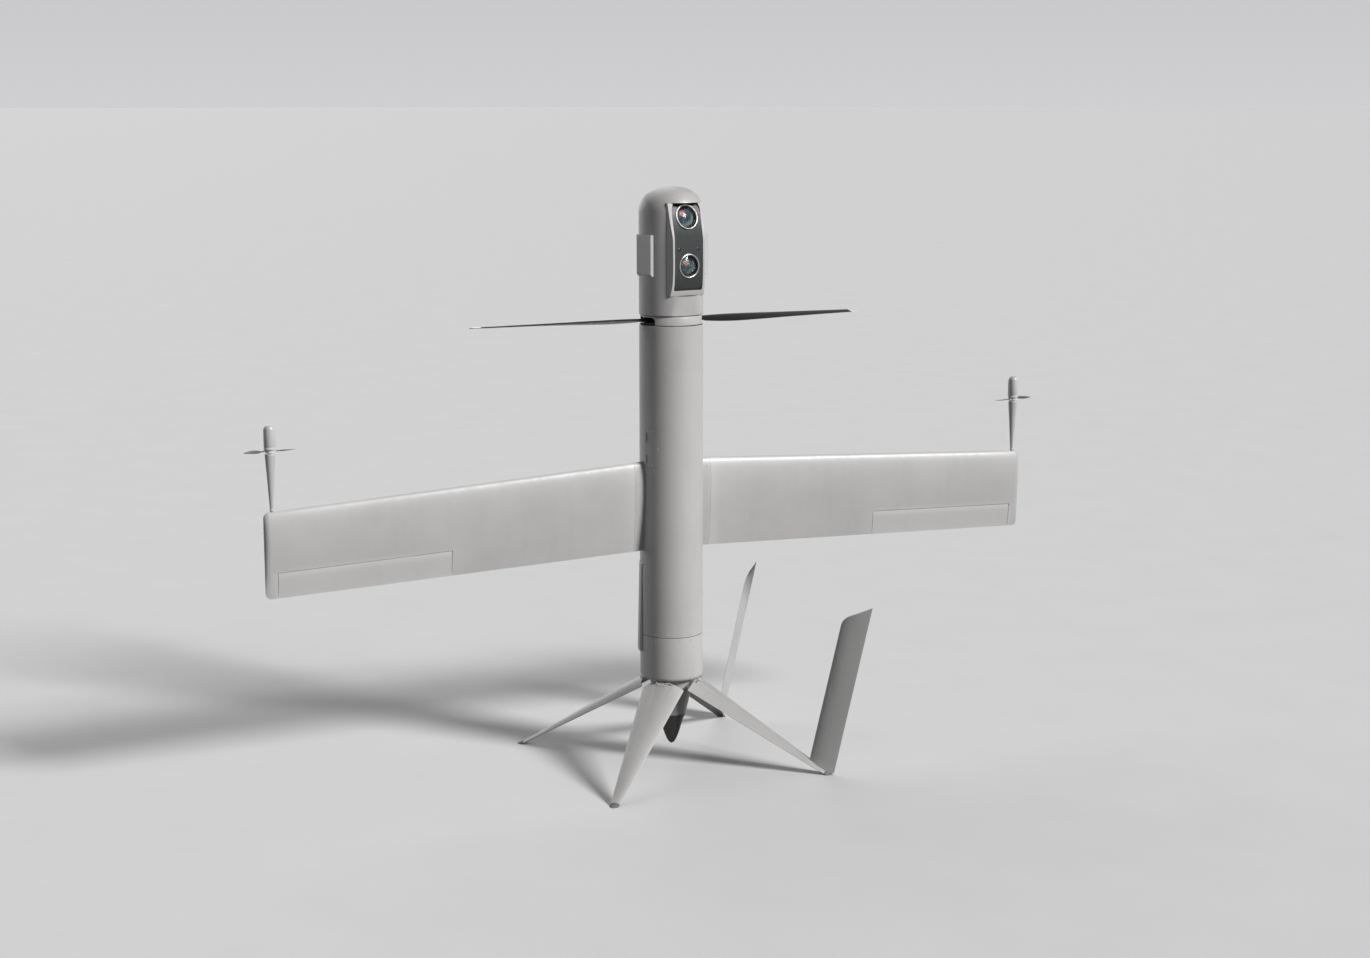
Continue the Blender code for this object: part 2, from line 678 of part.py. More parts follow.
def gear(teeth, first):
    """Straight-cut gear at the origin's axis, with one tooth centred on the angle given."""
    pitch_r = GEAR_MODULE * teeth / 2
    pitch_angle = 2 * math.pi / teeth
    tip = pitch_r + 0.85 * GEAR_MODULE
    root = pitch_r - 1.15 * GEAR_MODULE
    outline = []
    for tooth in range(teeth):
        centre = math.radians(first) + tooth * pitch_angle
        for radius, share in ((root, -0.36), (tip, -0.13), (tip, 0.13), (root, 0.36)):
            angle = centre + share * pitch_angle
            outline.append((radius * math.cos(angle), radius * math.sin(angle)))
    return extrude(outline, *GEAR_Z, "Z")


def build_drive():
    crank = pivot("crank_spin", (0, CRANK_Y, 0))
    first = -90.0 + 180.0 / PINION_TEETH
    shaft = rod((0, 0, CRANK_Z[0]), (0, 0, CRANK_Z[1]), CRANK_R)
    piece("crankshaft_pinion", gear(PINION_TEETH, first), STEEL, 0.3, 1.0, parent=crank, adds=(shaft,))

    bulkhead = tube_outline(SHAFT_R + GAP, BULKHEAD_R, *FRONT_BULKHEAD_Z)
    piece("front_bulkhead", lathe(bulkhead), CARBON, 0.5)
    under, over = ENGINE_MOUNT_Z
    mount = lathe([(0.0, under), (BULKHEAD_R, under), (BULKHEAD_R, over), (0.0, over)])
    crank_hole = rod((0, CRANK_Y, 1.43), (0, CRANK_Y, 1.45), 0.0055)
    piece("engine_mount", mount, ALUMINIUM, 0.45, 0.9, cuts=(crank_hole,))

    mast = [
        (MAST_BORE_R, 1.4415), (MAST_R, 1.4415), (MAST_R, 1.6440), (MAST_FLANGE_R, 1.6440),
        (MAST_FLANGE_R, 1.6520), (MAST_BORE_R, 1.6520),
    ]
    piece("sensor_mast", lathe(mast, MEDIUM), ALUMINIUM, 0.35, 0.9)

    case = rod((0, CRANK_Y, CRANKCASE_Z[0]), (0, CRANK_Y, CRANKCASE_Z[1]), CRANKCASE_R, MEDIUM)
    crank_bore = rod((0, CRANK_Y, 1.398), (0, CRANK_Y, 1.45), 0.0046)
    piece("engine_crankcase", case, ALUMINIUM, 0.5, 0.8, cuts=(crank_bore,))

    profile = [(0.0, 0.0)]
    for fin in range(CYLINDER_FINS):
        start = 0.006 + fin * CYLINDER_FIN_PITCH
        end = start + CYLINDER_FIN_THICKNESS
        profile += [(CYLINDER_R, start), (CYLINDER_FIN_R, start), (CYLINDER_FIN_R, end), (CYLINDER_R, end)]
    profile += [(CYLINDER_R, 0.072), (CYLINDER_R / 2, CYLINDER_LENGTH), (0.0, CYLINDER_LENGTH)]
    front = CRANK_Y - CRANKCASE_R - GAP

    def lay(point):
        return point[0], front - point[2], CYLINDER_Z + point[1]

    piece("engine_cylinder", moved(lathe(profile, 16), lay), ALUMINIUM, 0.5, 0.8)


def build_stores():
    bore, neck = TANK_NECK_R
    tank = [
        (0.0, 0.700), (0.085, 0.700), (TANK_R, 0.713), (TANK_R, 0.962), (0.085, 0.975), (neck, 0.975),
        (neck, 0.992), (bore, 0.992), (bore, 0.973), (0.096, 0.973), (0.096, 0.702), (0.0, 0.702),
    ]
    piece("fuel_tank", lathe(tank, MEDIUM), (0.62, 0.60, 0.52), 0.5)

    def plan(half_x, half_y, corner):
        outline = []
        for centre_x, centre_y, start in (
            (half_x, half_y, 0), (-half_x, half_y, 90), (-half_x, -half_y, 180), (half_x, -half_y, 270),
        ):
            for turn in (0, 45, 90):
                angle = math.radians(start + turn)
                x = centre_x - math.copysign(corner, centre_x) + corner * math.cos(angle)
                y = centre_y - math.copysign(corner, centre_y) + corner * math.sin(angle)
                outline.append((x, y))
        return outline

    half_x, half_y = AVIONICS_HALF
    rim = 0.003
    case = extrude(plan(half_x, half_y, AVIONICS_CORNER), *AVIONICS_Z, "Z")
    lid = extrude(plan(half_x + rim, half_y + rim, AVIONICS_CORNER), 1.225, 1.232, "Z")
    plug = rod((-0.050, -0.030, 1.18), (-0.067, -0.030, 1.18), 0.008)
    piece("avionics_box", case, (0.08, 0.08, 0.09), 0.5, 0.5, adds=(lid, plug))


# ---------------------------------------------------------------- sensor head
def build_head():
    head = pivot("head_pan", (0, 0, 0), HEAD_TURN)

    def dome(radius, height, steps):
        points = []
        for step in range(steps + 1):
            rise = math.sin(math.radians(90 * step / steps))
            reach = (1 - min(1.0, rise**DOME_POWER)) ** (1 / DOME_POWER)
            points.append((radius * reach, DOME_BASE + height * rise))
        points[-1] = (0.0, DOME_BASE + height)
        return points

    outer = [(HEAD_R - 0.0015, HEAD_BOTTOM), (HEAD_R, HEAD_BOTTOM + 0.0025)] + dome(HEAD_R, DOME_HEIGHT, 9)
    inner = dome(HEAD_R - HEAD_WALL, DOME_HEIGHT - HEAD_WALL, 5)
    shell = lathe(outer + list(reversed(inner)) + [(HEAD_R - HEAD_WALL, HEAD_BOTTOM)])

    top = BEZEL_Z[0] - 0.0003

    def chin_section(place, back, spread):
        half = CHIN_HALF[place] + spread
        front = CHIN_FRONT[place]
        z = (top, HEAD_BOTTOM)[place]
        return [(-half, front, z), (half, front, z), (half, back, z), (-half, back, z)]

    chin = loft([chin_section(0, CHIN_BACK, 0.0), chin_section(1, CHIN_BACK, 0.0)])
    below = [(x, y, HEAD_BOTTOM - 0.01) for x, y, _ in chin_section(1, -0.14, 0.004)]
    shave = loft([chin_section(0, -0.14, 0.0), chin_section(1, -0.14, 0.003), below])
    recess = box((-BEZEL_HALF - 0.0003, -0.2, top), (BEZEL_HALF + 0.0003, -0.050, BEZEL_Z[1] + GAP))
    piece("head_shell", shell, PAINT, 0.42, parent=head, adds=(chin,), cuts=(shave, recess))

    base = [
        (0.0172, 1.6435), (0.1108, 1.6435), (0.1108, 1.6475), (0.025, 1.6475), (0.025, 1.660),
        (0.0172, 1.660),
    ]
    notch = box((-0.075, -0.2, 1.60), (0.075, -0.0845, 1.70))
    piece("head_base", lathe(base), ALUMINIUM, 0.45, 0.9, parent=head, cuts=(notch,))
    piece("camera_block", box((-0.045, -0.055, 1.700), (0.045, 0.050, 2.020)), DARK, 0.5, parent=head)

    def arch(inset, back, front_reach):
        half = OPENING_HALF - inset
        outline = [(-half, OPENING_BOTTOM + inset), (half, OPENING_BOTTOM + inset)]
        steps = 5
        radius = ARCH_R[0] - inset
        centre = half - radius
        for step in range(steps):
            angle = math.radians(90 * step / steps)
            outline.append((centre + radius * math.cos(angle), ARCH_BASE + ARCH_R[1] * math.sin(angle)))
        outline.append((centre, BEZEL_Z[1] + 0.01))
        left = [(-x, z) for x, z in reversed(outline[2:])]
        return extrude(outline + left, back, front_reach, "Y")

    face = [(0.1000, BEZEL_Z[0]), (0.1053, 1.730), (0.1108, 1.760), (0.1134, 1.815), (0.1127, 1.885),
            (0.1110, 1.920), (0.0996, 1.975), (0.0890, BEZEL_Z[1])]
    outline = [(-reach, z) for reach, z in face] + [(-BEZEL_BACK, BEZEL_Z[1]), (-BEZEL_BACK, BEZEL_Z[0])]
    frame = extrude(outline, -BEZEL_HALF, BEZEL_HALF, "X")
    cuts = [arch(0.0, -0.2, -0.05)]
    for side in (-1, 1):
        front = side * BEZEL_FRONT_HALF
        lean = [(side * BEZEL_HALF, -0.085), (front, -0.1145), (front, -0.13), (side * 0.09, -0.13),
                (side * 0.09, -0.085)]
        cuts.append(extrude(lean, BEZEL_Z[0] - 0.01, BEZEL_Z[1] + 0.01, "Z"))
    piece("head_bezel", frame, PAINT, 0.4, parent=head, cuts=cuts)

    low = OPENING_BOTTOM + GAP
    high = BEZEL_Z[1] - GAP
    glass = [(0.0940, low), (0.1035, 1.742), (0.1105, 1.768), (0.1134, 1.800), (0.1134, 1.865),
             (0.1080, 1.935), (0.0970, 1.990), (0.0860, 2.022), (0.0785, high)]
    outline = [(-reach, z) for reach, z in glass] + [(-WINDOW_BACK, high), (-WINDOW_BACK, low)]
    block = extrude(outline, -OPENING_HALF, OPENING_HALF, "X")
    lenses = (("upper", UPPER_LENS), ("lower", LOWER_LENS))

    def aim(lens):
        """Return a function that lays a turned shape on a lens's axis."""
        tilt = math.radians(lens[2])
        out = Vector((0.0, -math.cos(tilt), math.sin(tilt)))
        up = Vector((0.0, math.sin(tilt), math.cos(tilt)))
        centre = Vector((0.0, -lens[0], lens[1]))

        def place(point):
            return tuple(centre + Vector((1, 0, 0)) * point[0] + up * point[1] + out * point[2])

        return place

    pockets = []
    for _, lens in lenses:
        pocket = lathe([(0.0, -0.014), (lens[3] + GAP, -0.014), (lens[3] + GAP, 0.03), (0.0, 0.03)], MEDIUM)
        pockets.append(moved(pocket, aim(lens)))
    piece("sensor_window", block, (0.035, 0.035, 0.037), 0.12, parent=head,
          keeps=(arch(GAP, -0.2, -0.05),), cuts=pockets)

    for name, lens in lenses:
        edge = lens[3]
        ring = [
            (edge - 0.0085, -0.0135), (edge, -0.0135), (edge, 0.0022), (edge - 0.0015, 0.0032),
            (edge - 0.0040, 0.0028), (edge - 0.0048, 0.0005), (edge - 0.0080, -0.0030),
        ]
        piece(name + "_lens_ring", moved(lathe(ring, MEDIUM), aim(lens)), ALUMINIUM, 0.3, 0.9, parent=head)
        rim = edge - 0.0092
        dome_points = [(0.0, -0.0130), (rim, -0.0130), (rim, -0.0040)]
        for share, height in ((0.85, -0.0012), (0.60, 0.0018), (0.30, 0.0036), (0.0, 0.0042)):
            dome_points.append((rim * share, height))
        glass = moved(lathe(dome_points, MEDIUM), aim(lens))
        piece(name + "_lens", glass, (0.02, 0.03, 0.035), 0.05, parent=head)

    for name, side in (("left", -1), ("right", 1)):
        near = 0.090
        reach = POD_REACH[name]
        foot, crown = POD_Z
        outline = [(-POD_HALF, foot), (POD_HALF, foot), (POD_HALF, crown), (-POD_HALF, crown)]
        slab = loft([
            [(side * near, y, z) for y, z in outline],
            [(side * (reach - 0.006), y, z) for y, z in outline],
            [(side * reach, y * 0.96, max(z, foot + 0.008)) for y, z in outline],
        ])
        hull = rod((0, 0, 1.6), (0, 0, 2.0), HEAD_R + 0.0007, ROUND)
        piece(name + "_side_pod", slab, PAINT, 0.4, parent=head, cuts=(hull,))


# ---------------------------------------------------------------- tail legs
def leg_station(share):
    """Radius and height of the folded leg's outer ridge, from its top to its tip."""
    return blend((LEG_TOP[0], LEG_TIP[0]), share), blend((LEG_TOP[1], LEG_TIP[1]), share)


def build_tail():
    ears = []
    pin_r, pin_z = LEG_PIN
    for azimuth in LEG_AZ.values():
        for side in (-1, 1):
            outline = [(0.0860, 0.3220), (0.0860, 0.3050)]
            for turn in (-100, -60, -20, 20):
                angle = math.radians(turn)
                outline.append((pin_r + EAR_R * math.cos(angle), pin_z + EAR_R * math.sin(angle)))
            outline += [(pin_r + EAR_R, 0.3155), (pin_r + EAR_R - 0.001, 0.3165), (0.0945, 0.3165),
                        (0.0945, 0.3220)]
            plate = sorted((side * EAR_SIDES[0], side * EAR_SIDES[1]))
            ears.append(moved(extrude(outline, *plate, "Y"), about(azimuth)))
        pin = rod((pin_r, -0.0190, pin_z), (pin_r, 0.0190, pin_z), LEG_PIN_R, 12)
        ears.append(moved(pin, about(azimuth)))
    disc = lathe([(0.0, 0.3175), (0.0984, 0.3175), (0.0984, 0.3235), (0.0, 0.3235)])
    piece("tail_bulkhead", disc, ALUMINIUM, 0.45, 0.9, adds=ears)

    for name, azimuth in LEG_AZ.items():
        place = polar(pin_r, azimuth)
        joint = pivot("petal_" + name, (place[0], place[1], pin_z), azimuth - 90.0)
        build_leg(name, joint)
    build_fins()


def about(azimuth):
    """Carry a shape drawn as (radius, tangent, height) to an azimuth."""
    angle = math.radians(azimuth - 90.0)

    def place(point):
        x, y, z = point
        return x * math.cos(angle) - y * math.sin(angle), x * math.sin(angle) + y * math.cos(angle), z

    return place


def build_leg(name, joint):
    """Petal leg drawn folded along the tail, then opened about its pin."""
    pin_r, pin_z = LEG_PIN
    spread = math.radians(LEG_HALF_ANGLE)

    def arc(radius, height, steps=6):
        points = []
        for step in range(steps + 1):
            angle = -spread + 2 * spread * step / steps
            points.append((radius * math.cos(angle), radius * math.sin(angle), height))
        return points

    def local(point):
        return point[0] - pin_r, point[1], point[2] - pin_z

    sections = []
    for share in (0.0, 0.33, 0.66, 0.955, 1.0):
        radius, height = leg_station(share)
        wall = LEG_WALL if share < 0.99 else 0.0075
        sections.append(arc(radius, height) + list(reversed(arc(radius - wall, height))))
    shell = moved(loft(sections), local)
    knuckle = rod((0, -KNUCKLE_HALF, 0), (0, KNUCKLE_HALF, 0), KNUCKLE_R, 14)
    web = box((-0.0050, -KNUCKLE_HALF, -0.0125), (0.0042, KNUCKLE_HALF, -0.0010))
    bore = rod((0, -0.05, 0), (0, 0.05, 0), LEG_BORE_R, 12)
    notches = [box((-0.012, y, -0.0060), (0.012, y + 0.0064, 0.02)) for y in (-0.0212, 0.0148)]
    opened = (0.0, -math.radians(LEG_OPEN), 0.0)
    piece("tail_leg_" + name, shell, PAINT, 0.42, parent=joint, rotation=opened,
          adds=(knuckle, web), cuts=[bore] + notches)

    top = LEG_TIP[1] - 0.0003
    outline = [(x, y) for x, y, _ in arc(LEG_TIP[0], 0.0, 6)]
    outline += [(FOOT_INNER, FOOT_INNER - 0.0008), (FOOT_INNER, 0.0008 - FOOT_INNER)]
    turn = math.radians(LEG_OPEN)
    sections = [[], []]
    for x, y in outline:
        reach = x - pin_r
        ground = -(pin_z + reach * math.sin(turn)) / math.cos(turn)
        sections[0].append((reach, y, top - pin_z))
        sections[1].append((reach, y, ground))
    piece("foot_" + name, loft(sections), (0.05, 0.05, 0.05), 0.7, parent=joint, rotation=opened)


def build_fins():
    """Upright fins on the ridges of the two right-hand legs; the rear one is canted inwards."""
    pin_r, pin_z = LEG_PIN
    turn = math.radians(LEG_OPEN)

    def ridge(share):
        radius, height = leg_station(share)
        reach = radius - pin_r
        rise = height - pin_z
        return (pin_r + reach * math.cos(turn) - rise * math.sin(turn),
                pin_z + reach * math.sin(turn) + rise * math.cos(turn))

    tip = ridge(1.0)
    crown = ridge(0.4)
    cut_line = [crown, tip, (0.6050, FIN_FOOT_Z), (0.75, FIN_FOOT_Z), (0.75, -0.2), (crown[0], -0.2)]
    cut_line = [(r, z + (0.0005 if z > 0.01 else 0.0)) for r, z in cut_line]
    fins = {
        "front_right": ((0.5170, 0.6465), (0.6178, 0.7529), 0.0),
        "rear_right": ((0.5170, 0.5190), (0.6178, 0.6255), -0.13),
    }
    # share of the chord and share of the half thickness there
    outline = ((0.0, 0.0), (0.04, 0.62), (0.16, 0.92), (0.36, 1.0), (0.70, 0.62), (1.0, 0.10))
    for name, (lead, trail, lean) in fins.items():
        sections = []
        # height share of the nose and of the tail edge, and how far the top corner is rounded off
        for share, cut in ((0.0, 0.0), (0.35, 0.0), (0.70, 0.0), (0.93, 0.0), (0.975, 0.018), (1.0, 0.040)):
            front = (blend(lead, share) + cut, FIN_TOP[0] * share)
            back = (blend(trail, share), FIN_TOP[1] * share)
            thickness = FIN_THICKNESS if share < 0.99 else 0.0060
            ring = []
            for part, half in outline:
                r = blend((front[0], back[0]), part)
                z = blend((front[1], back[1]), part)
                ring.append((r, z, half * thickness / 2))
            loop = ring + [(r, z, -half) for r, z, half in reversed(ring[1:])]
            section = []
            for r, z, half in loop:
                section.append((r - pin_r, half + lean * z / FIN_LEAN_HEIGHT, z - pin_z))
            sections.append(section)
        wedge = extrude([(r - pin_r, z - pin_z) for r, z in cut_line], -0.05, 0.05, "Y")
        joint = bpy.data.objects["petal_" + name]
        piece("tail_fin_" + name, loft(sections), FIN_PAINT, 0.45, parent=joint, cuts=(wedge,))


build_fuselage()
build_fairing()
build_hatch()
build_spar()
build_wing("left", -1)
build_wing("right", 1)
build_thruster("left", -1, 0.0, -1)
build_thruster("right", 1, RIGHT_PROP_TURN, 1)
build_rotor()
build_drive()
build_stores()
build_head()
build_tail()
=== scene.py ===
"""Look of the tail-sitting winged drone: fine surfaces, procedural materials, studio and camera.

Metres, +Z up along the fuselage axis, -Y the belly side, +X the right wing. Azimuths run
from the belly towards the right wing.
"""
import json
from math import asin, copysign, cos, degrees, hypot, pi, radians, sin, sqrt

import bmesh
import bpy
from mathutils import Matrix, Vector

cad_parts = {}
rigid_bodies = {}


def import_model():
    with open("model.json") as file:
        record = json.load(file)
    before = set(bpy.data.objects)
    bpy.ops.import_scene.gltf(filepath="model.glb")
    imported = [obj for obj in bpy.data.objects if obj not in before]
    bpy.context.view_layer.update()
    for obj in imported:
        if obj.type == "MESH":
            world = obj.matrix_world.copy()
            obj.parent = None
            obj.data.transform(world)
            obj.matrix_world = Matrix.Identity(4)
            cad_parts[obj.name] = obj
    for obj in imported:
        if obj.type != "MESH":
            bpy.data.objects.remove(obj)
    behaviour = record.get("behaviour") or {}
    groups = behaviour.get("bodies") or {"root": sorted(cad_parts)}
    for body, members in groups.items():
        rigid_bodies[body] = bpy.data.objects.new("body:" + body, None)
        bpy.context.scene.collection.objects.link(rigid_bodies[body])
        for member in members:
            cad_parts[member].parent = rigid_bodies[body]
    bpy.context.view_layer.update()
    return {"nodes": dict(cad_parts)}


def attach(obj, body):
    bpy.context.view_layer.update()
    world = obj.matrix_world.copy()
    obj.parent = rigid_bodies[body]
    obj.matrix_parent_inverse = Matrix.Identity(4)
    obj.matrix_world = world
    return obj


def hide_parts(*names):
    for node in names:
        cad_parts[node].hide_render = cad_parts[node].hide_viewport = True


for old in list(bpy.data.objects):
    bpy.data.objects.remove(old, do_unlink=True)

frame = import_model()

# ---- the CAD's dimensions
BODY_R = 0.114
SKIN = 0.0025
TAIL_BOTTOM = 0.317
TAIL_FILLET = 0.015
TAIL_SEAM = 0.4808
SHELL_TOP = 1.606
HATCH_AZ = (-76.7, -47.0)
HATCH_Z = (1.10, 1.24)
HATCH_HINGE = (0.1160, -77.5)
HATCH_LEAVES = ((1.115, 1.145), (1.195, 1.225))
HATCH_PIN_R = 0.0014
FAIRING_Z = (0.429, 0.746)
FAIRING_HALF_ANGLE = 88.0
FAIRING_SEAT = 0.0006
FAIRING_INNER_Z = 0.418
HALF_SPAN = 1.5
LEAD = (1.1233, -0.0526)
TRAIL = (0.7956, -0.0314)
WING_THICKNESS = 0.12
FITTING_START = 0.100
FITTING_END = 0.151
CUFF_END = 0.119
CUFF_RISE = 0.0012
PANEL_START = 0.1515
TIP_RADIUS = 0.020
HINGE_SPAN = (0.842, 1.4585)
HINGE_Z = (0.8575, 0.8366)
AILERON_LIP = 0.002
AILERON_GAP = 0.0019
AILERON_END_GAP = 0.0015
SOCKET_R = 0.0046
THRUSTER_X = 1.4707
PROP_Z = 1.2495
FOLD_X = 0.0175
PROP_TURN = {"left": 0.0, "right": 14.0}
RING_R = 0.110
RING_Z = (1.6085, 1.6395)
RING_OPENING = 33.0
ROTOR_Z = 1.624
TIP_BAND_START = 0.722
HEAD_TURN = 8.5
HEAD_R = 0.1145
HEAD_WALL = 0.003
HEAD_BOTTOM = 1.6425
DOME_BASE = 2.0
DOME_HEIGHT = 0.092
DOME_POWER = 2.35
BEZEL_HALF = 0.0765
BEZEL_FRONT_HALF = 0.0670
BEZEL_Z = (1.7135, 2.0370)
BEZEL_BACK = 0.078
CHIN_FRONT = (0.1000, 0.1080)
OPENING_HALF = 0.0598
OPENING_BOTTOM = 1.731
ARCH_R = (0.020, 0.034)
ARCH_BASE = 2.007
WINDOW_BACK = 0.060
# forward reach, height, upward tilt and ring radius
LENSES = {"upper": (0.0975, 1.989, 17.0, 0.0445), "lower": (0.1134, 1.8185, 0.0, 0.0420)}
SENSOR_SPOT = (0.1134, 1.877, 2.0, 0.0)
SENSOR_X = (-0.041, 0.039)
POD_HALF = 0.046
POD_Z = (1.780, 1.925)
POD_REACH = {"left": 0.117, "right": 0.131}
LEG_AZ = {"front_right": 45.0, "rear_right": 135.0, "rear_left": -135.0, "front_left": -45.0}
LEG_PIN = (0.106, 0.3075)
LEG_OPEN = 66.7
FOOT_INNER = 0.0165
LEG_HALF_ANGLE = 44.5
LEG_TOP = (0.112, 0.3145)
LEG_TIP = (0.0252, -0.2520)
LEG_WALL = 0.003
LEG_BORE_R = 0.0033
KNUCKLE_R = 0.0059
KNUCKLE_HALF = 0.0150
FIN_TOP = (0.5930, 0.6245)
FIN_THICKNESS = 0.0115
FIN_LEAN_HEIGHT = 0.62
FIN_ROUNDING = 0.93             # share of a fin's height where its top corner starts
FIN_THICKEST = 0.36             # share of its chord
FINE = 128


# ---- shapes
def polar(radius, azimuth):
    angle = radians(azimuth)
    return radius * sin(angle), -radius * cos(angle)


def blend(pair, share):
    return pair[0] + (pair[1] - pair[0]) * share


def arc(centre, radii, start, end, steps):
    """Points on an elliptical arc between two angles in degrees."""
    angles = [radians(blend((start, end), step / steps)) for step in range(steps + 1)]
    return [(centre[0] + radii[0] * cos(angle), centre[1] + radii[1] * sin(angle)) for angle in angles]


def rotated(first, second, angle):
    return (first * cos(angle) - second * sin(angle),
            first * sin(angle) + second * cos(angle))


def loft(sections):
    count = len(sections[0])
    points = [point for section in sections for point in section]
    faces = []
    for row in range(len(sections) - 1):
        here = row * count
        there = here + count
        for i in range(count):
            j = (i + 1) % count
            faces.append((here + i, here + j, there + j, there + i))
    faces.append(tuple(reversed(range(count))))
    faces.append(tuple(range(len(points) - count, len(points))))
    return points, faces


def lathe(profile, sides=FINE):
    points = []
    rings = []
    for radius, height in profile:
        if radius < 1e-6:
            rings.append([len(points)])
            points.append((0.0, 0.0, height))
            continue
        rings.append(list(range(len(points), len(points) + sides)))
        for side in range(sides):
            angle = 2 * pi * side / sides
            points.append((radius * cos(angle), radius * sin(angle), height))
    faces = []
    for low, high in zip(rings, rings[1:] + rings[:1]):
        for i in range(sides):
            j = (i + 1) % sides
            if len(low) > 1 and len(high) > 1:
                faces.append((low[i], low[j], high[j], high[i]))
            elif len(low) > 1:
                faces.append((low[i], low[j], high[0]))
            elif len(high) > 1:
                faces.append((low[0], high[j], high[i]))
    return points, faces


def extrude(outline, start, end, axis):
    k = "XYZ".index(axis)
    return loft([[(*point[:k], place, *point[k:]) for point in outline] for place in (start, end)])


def box(low, high):
    outline = [(low[0], low[1]), (high[0], low[1]), (high[0], high[1]), (low[0], high[1])]
    return extrude(outline, low[2], high[2], "Z")


def rod(start, end, radius, sides=32):
    start = Vector(start)
    end = Vector(end)
    along = (end - start).normalized()
    side = along.orthogonal().normalized()
    other = along.cross(side)
    sections = []
    for centre in (start, end):
        angles = [2 * pi * i / sides for i in range(sides)]
        sections.append([tuple(centre + radius * (cos(angle) * side + sin(angle) * other))
                         for angle in angles])
    return loft(sections)


def tube_outline(inner, outer, low, high, edge=0.0):
    if not edge:
        return [(outer, low), (outer, high), (inner, high), (inner, low)]
    return [(outer - edge, low), (outer, low + edge), (outer, high - edge), (outer - edge, high),
            (inner, high), (inner, low)]


def sector(inner, outer, azimuths, low, high, steps):
    outline = tube_outline(inner, outer, low, high)
    turns = [blend(azimuths, step / steps) for step in range(steps + 1)]
    return loft([[(*polar(radius, turn), height) for radius, height in outline] for turn in turns])


def moved(shape, place):
    points, faces = shape
    return [place(point) for point in points], faces


def turned(azimuth, shift=(0.0, 0.0, 0.0)):
    """Function that turns a point about Z and then shifts it."""
    angle = radians(azimuth)

    def place(point):
        x, y = rotated(point[0], point[1], angle)
        return x + shift[0], y + shift[1], point[2] + shift[2]

    return place


def joined(*shapes):
    points = []
    faces = []
    for more, patches in shapes:
        start = len(points)
        points += more
        faces += [tuple(i + start for i in patch) for patch in patches]
    return points, faces


def smooth_path(knots, steps):
    """Points on a smooth curve through a row of (x, y) knots."""
    result = []
    count = len(knots)
    for i in range(count - 1):
        before = Vector(knots[max(i - 1, 0)])
        start = Vector(knots[i])
        end = Vector(knots[i + 1])
        after = Vector(knots[min(i + 2, count - 1)])
        for step in range(steps):
            t = step / steps
            point = 0.5 * (2 * start + (end - before) * t
                           + (2 * before - 5 * start + 4 * end - after) * t**2
                           + (3 * start - before - 3 * end + after) * t**3)
            result.append(tuple(point))
    result.append(tuple(knots[-1]))
    return result


# ---- materials
def setup(target, **settings):
    for name, value in settings.items():
        setattr(target, name, value)
    return target


def feed(target, inputs):
    """Set a node's inputs, or link those whose value is another node's output."""
    for name, value in inputs.items():
        if isinstance(value, bpy.types.NodeSocket):
            target.id_data.links.new(value, target.inputs[name])
        else:
            target.inputs[name].default_value = value


def node(tree, kind, inputs=None, **settings):
    made = setup(tree.nodes.new("ShaderNode" + kind), **settings)
    feed(made, inputs or {})
    return made


def new_material(name):
    material = bpy.data.materials.new(name)
    material.use_nodes = True
    tree = material.node_tree
    return material, tree, tree.nodes["Principled BSDF"]


def noise(tree, scale, detail=6.0, roughness=0.55, stretch=(1, 1, 1)):
    place = node(tree, "TexCoord").outputs["Object"]
    mapping = node(tree, "Mapping", {"Scale": stretch, "Vector": place})
    return node(tree, "TexNoise", {"Scale": scale, "Detail": detail, "Roughness": roughness,
                                   "Vector": mapping.outputs["Vector"]}).outputs["Fac"]


def ranged(value, low, high, start=0.3, end=0.7):
    return node(value.id_data, "MapRange", {"From Min": start, "From Max": end, "To Min": low, "To Max": high,
                                            "Value": value}).outputs["Result"]


def mixed(factor, first, second):
    made = node(factor.id_data, "Mix", {"Factor": factor}, data_type="RGBA")
    for index, value in ((6, first), (7, second)):
        feed(made, {index: (*value, 1.0) if isinstance(value, tuple) else value})
    return made.outputs[2]


def bumped(shader, heights):
    """Stack bump layers; each is (height, strength, distance)."""
    normal = {}
    for height, strength, distance in heights:
        inputs = {"Strength": strength, "Distance": distance, "Height": height, **normal}
        normal = {"Normal": node(shader.id_data, "Bump", inputs).outputs["Normal"]}
    feed(shader, normal)


def ramped(value, stops):
    """Colour ramp; each stop is (position, colour)."""
    made = node(value.id_data, "ValToRGB", {"Fac": value})
    elements = made.color_ramp.elements
    for position, _ in stops[1:-1]:
        elements.new(position)
    for element, (position, colour) in zip(elements, stops):
        setup(element, position=position, color=(*colour, 1.0))
    return made.outputs["Color"]


def edges(tree):
    return ranged(node(tree, "NewGeometry").outputs["Pointiness"], 0.0, 1.0, 0.505, 0.56)


def scaled(colour, share):
    return tuple(min(1.0, value * share) for value in colour)


def mottled(colour, pattern, dark, light):
    return mixed(ranged(pattern, 0.0, 1.0), scaled(colour, dark), scaled(colour, light))


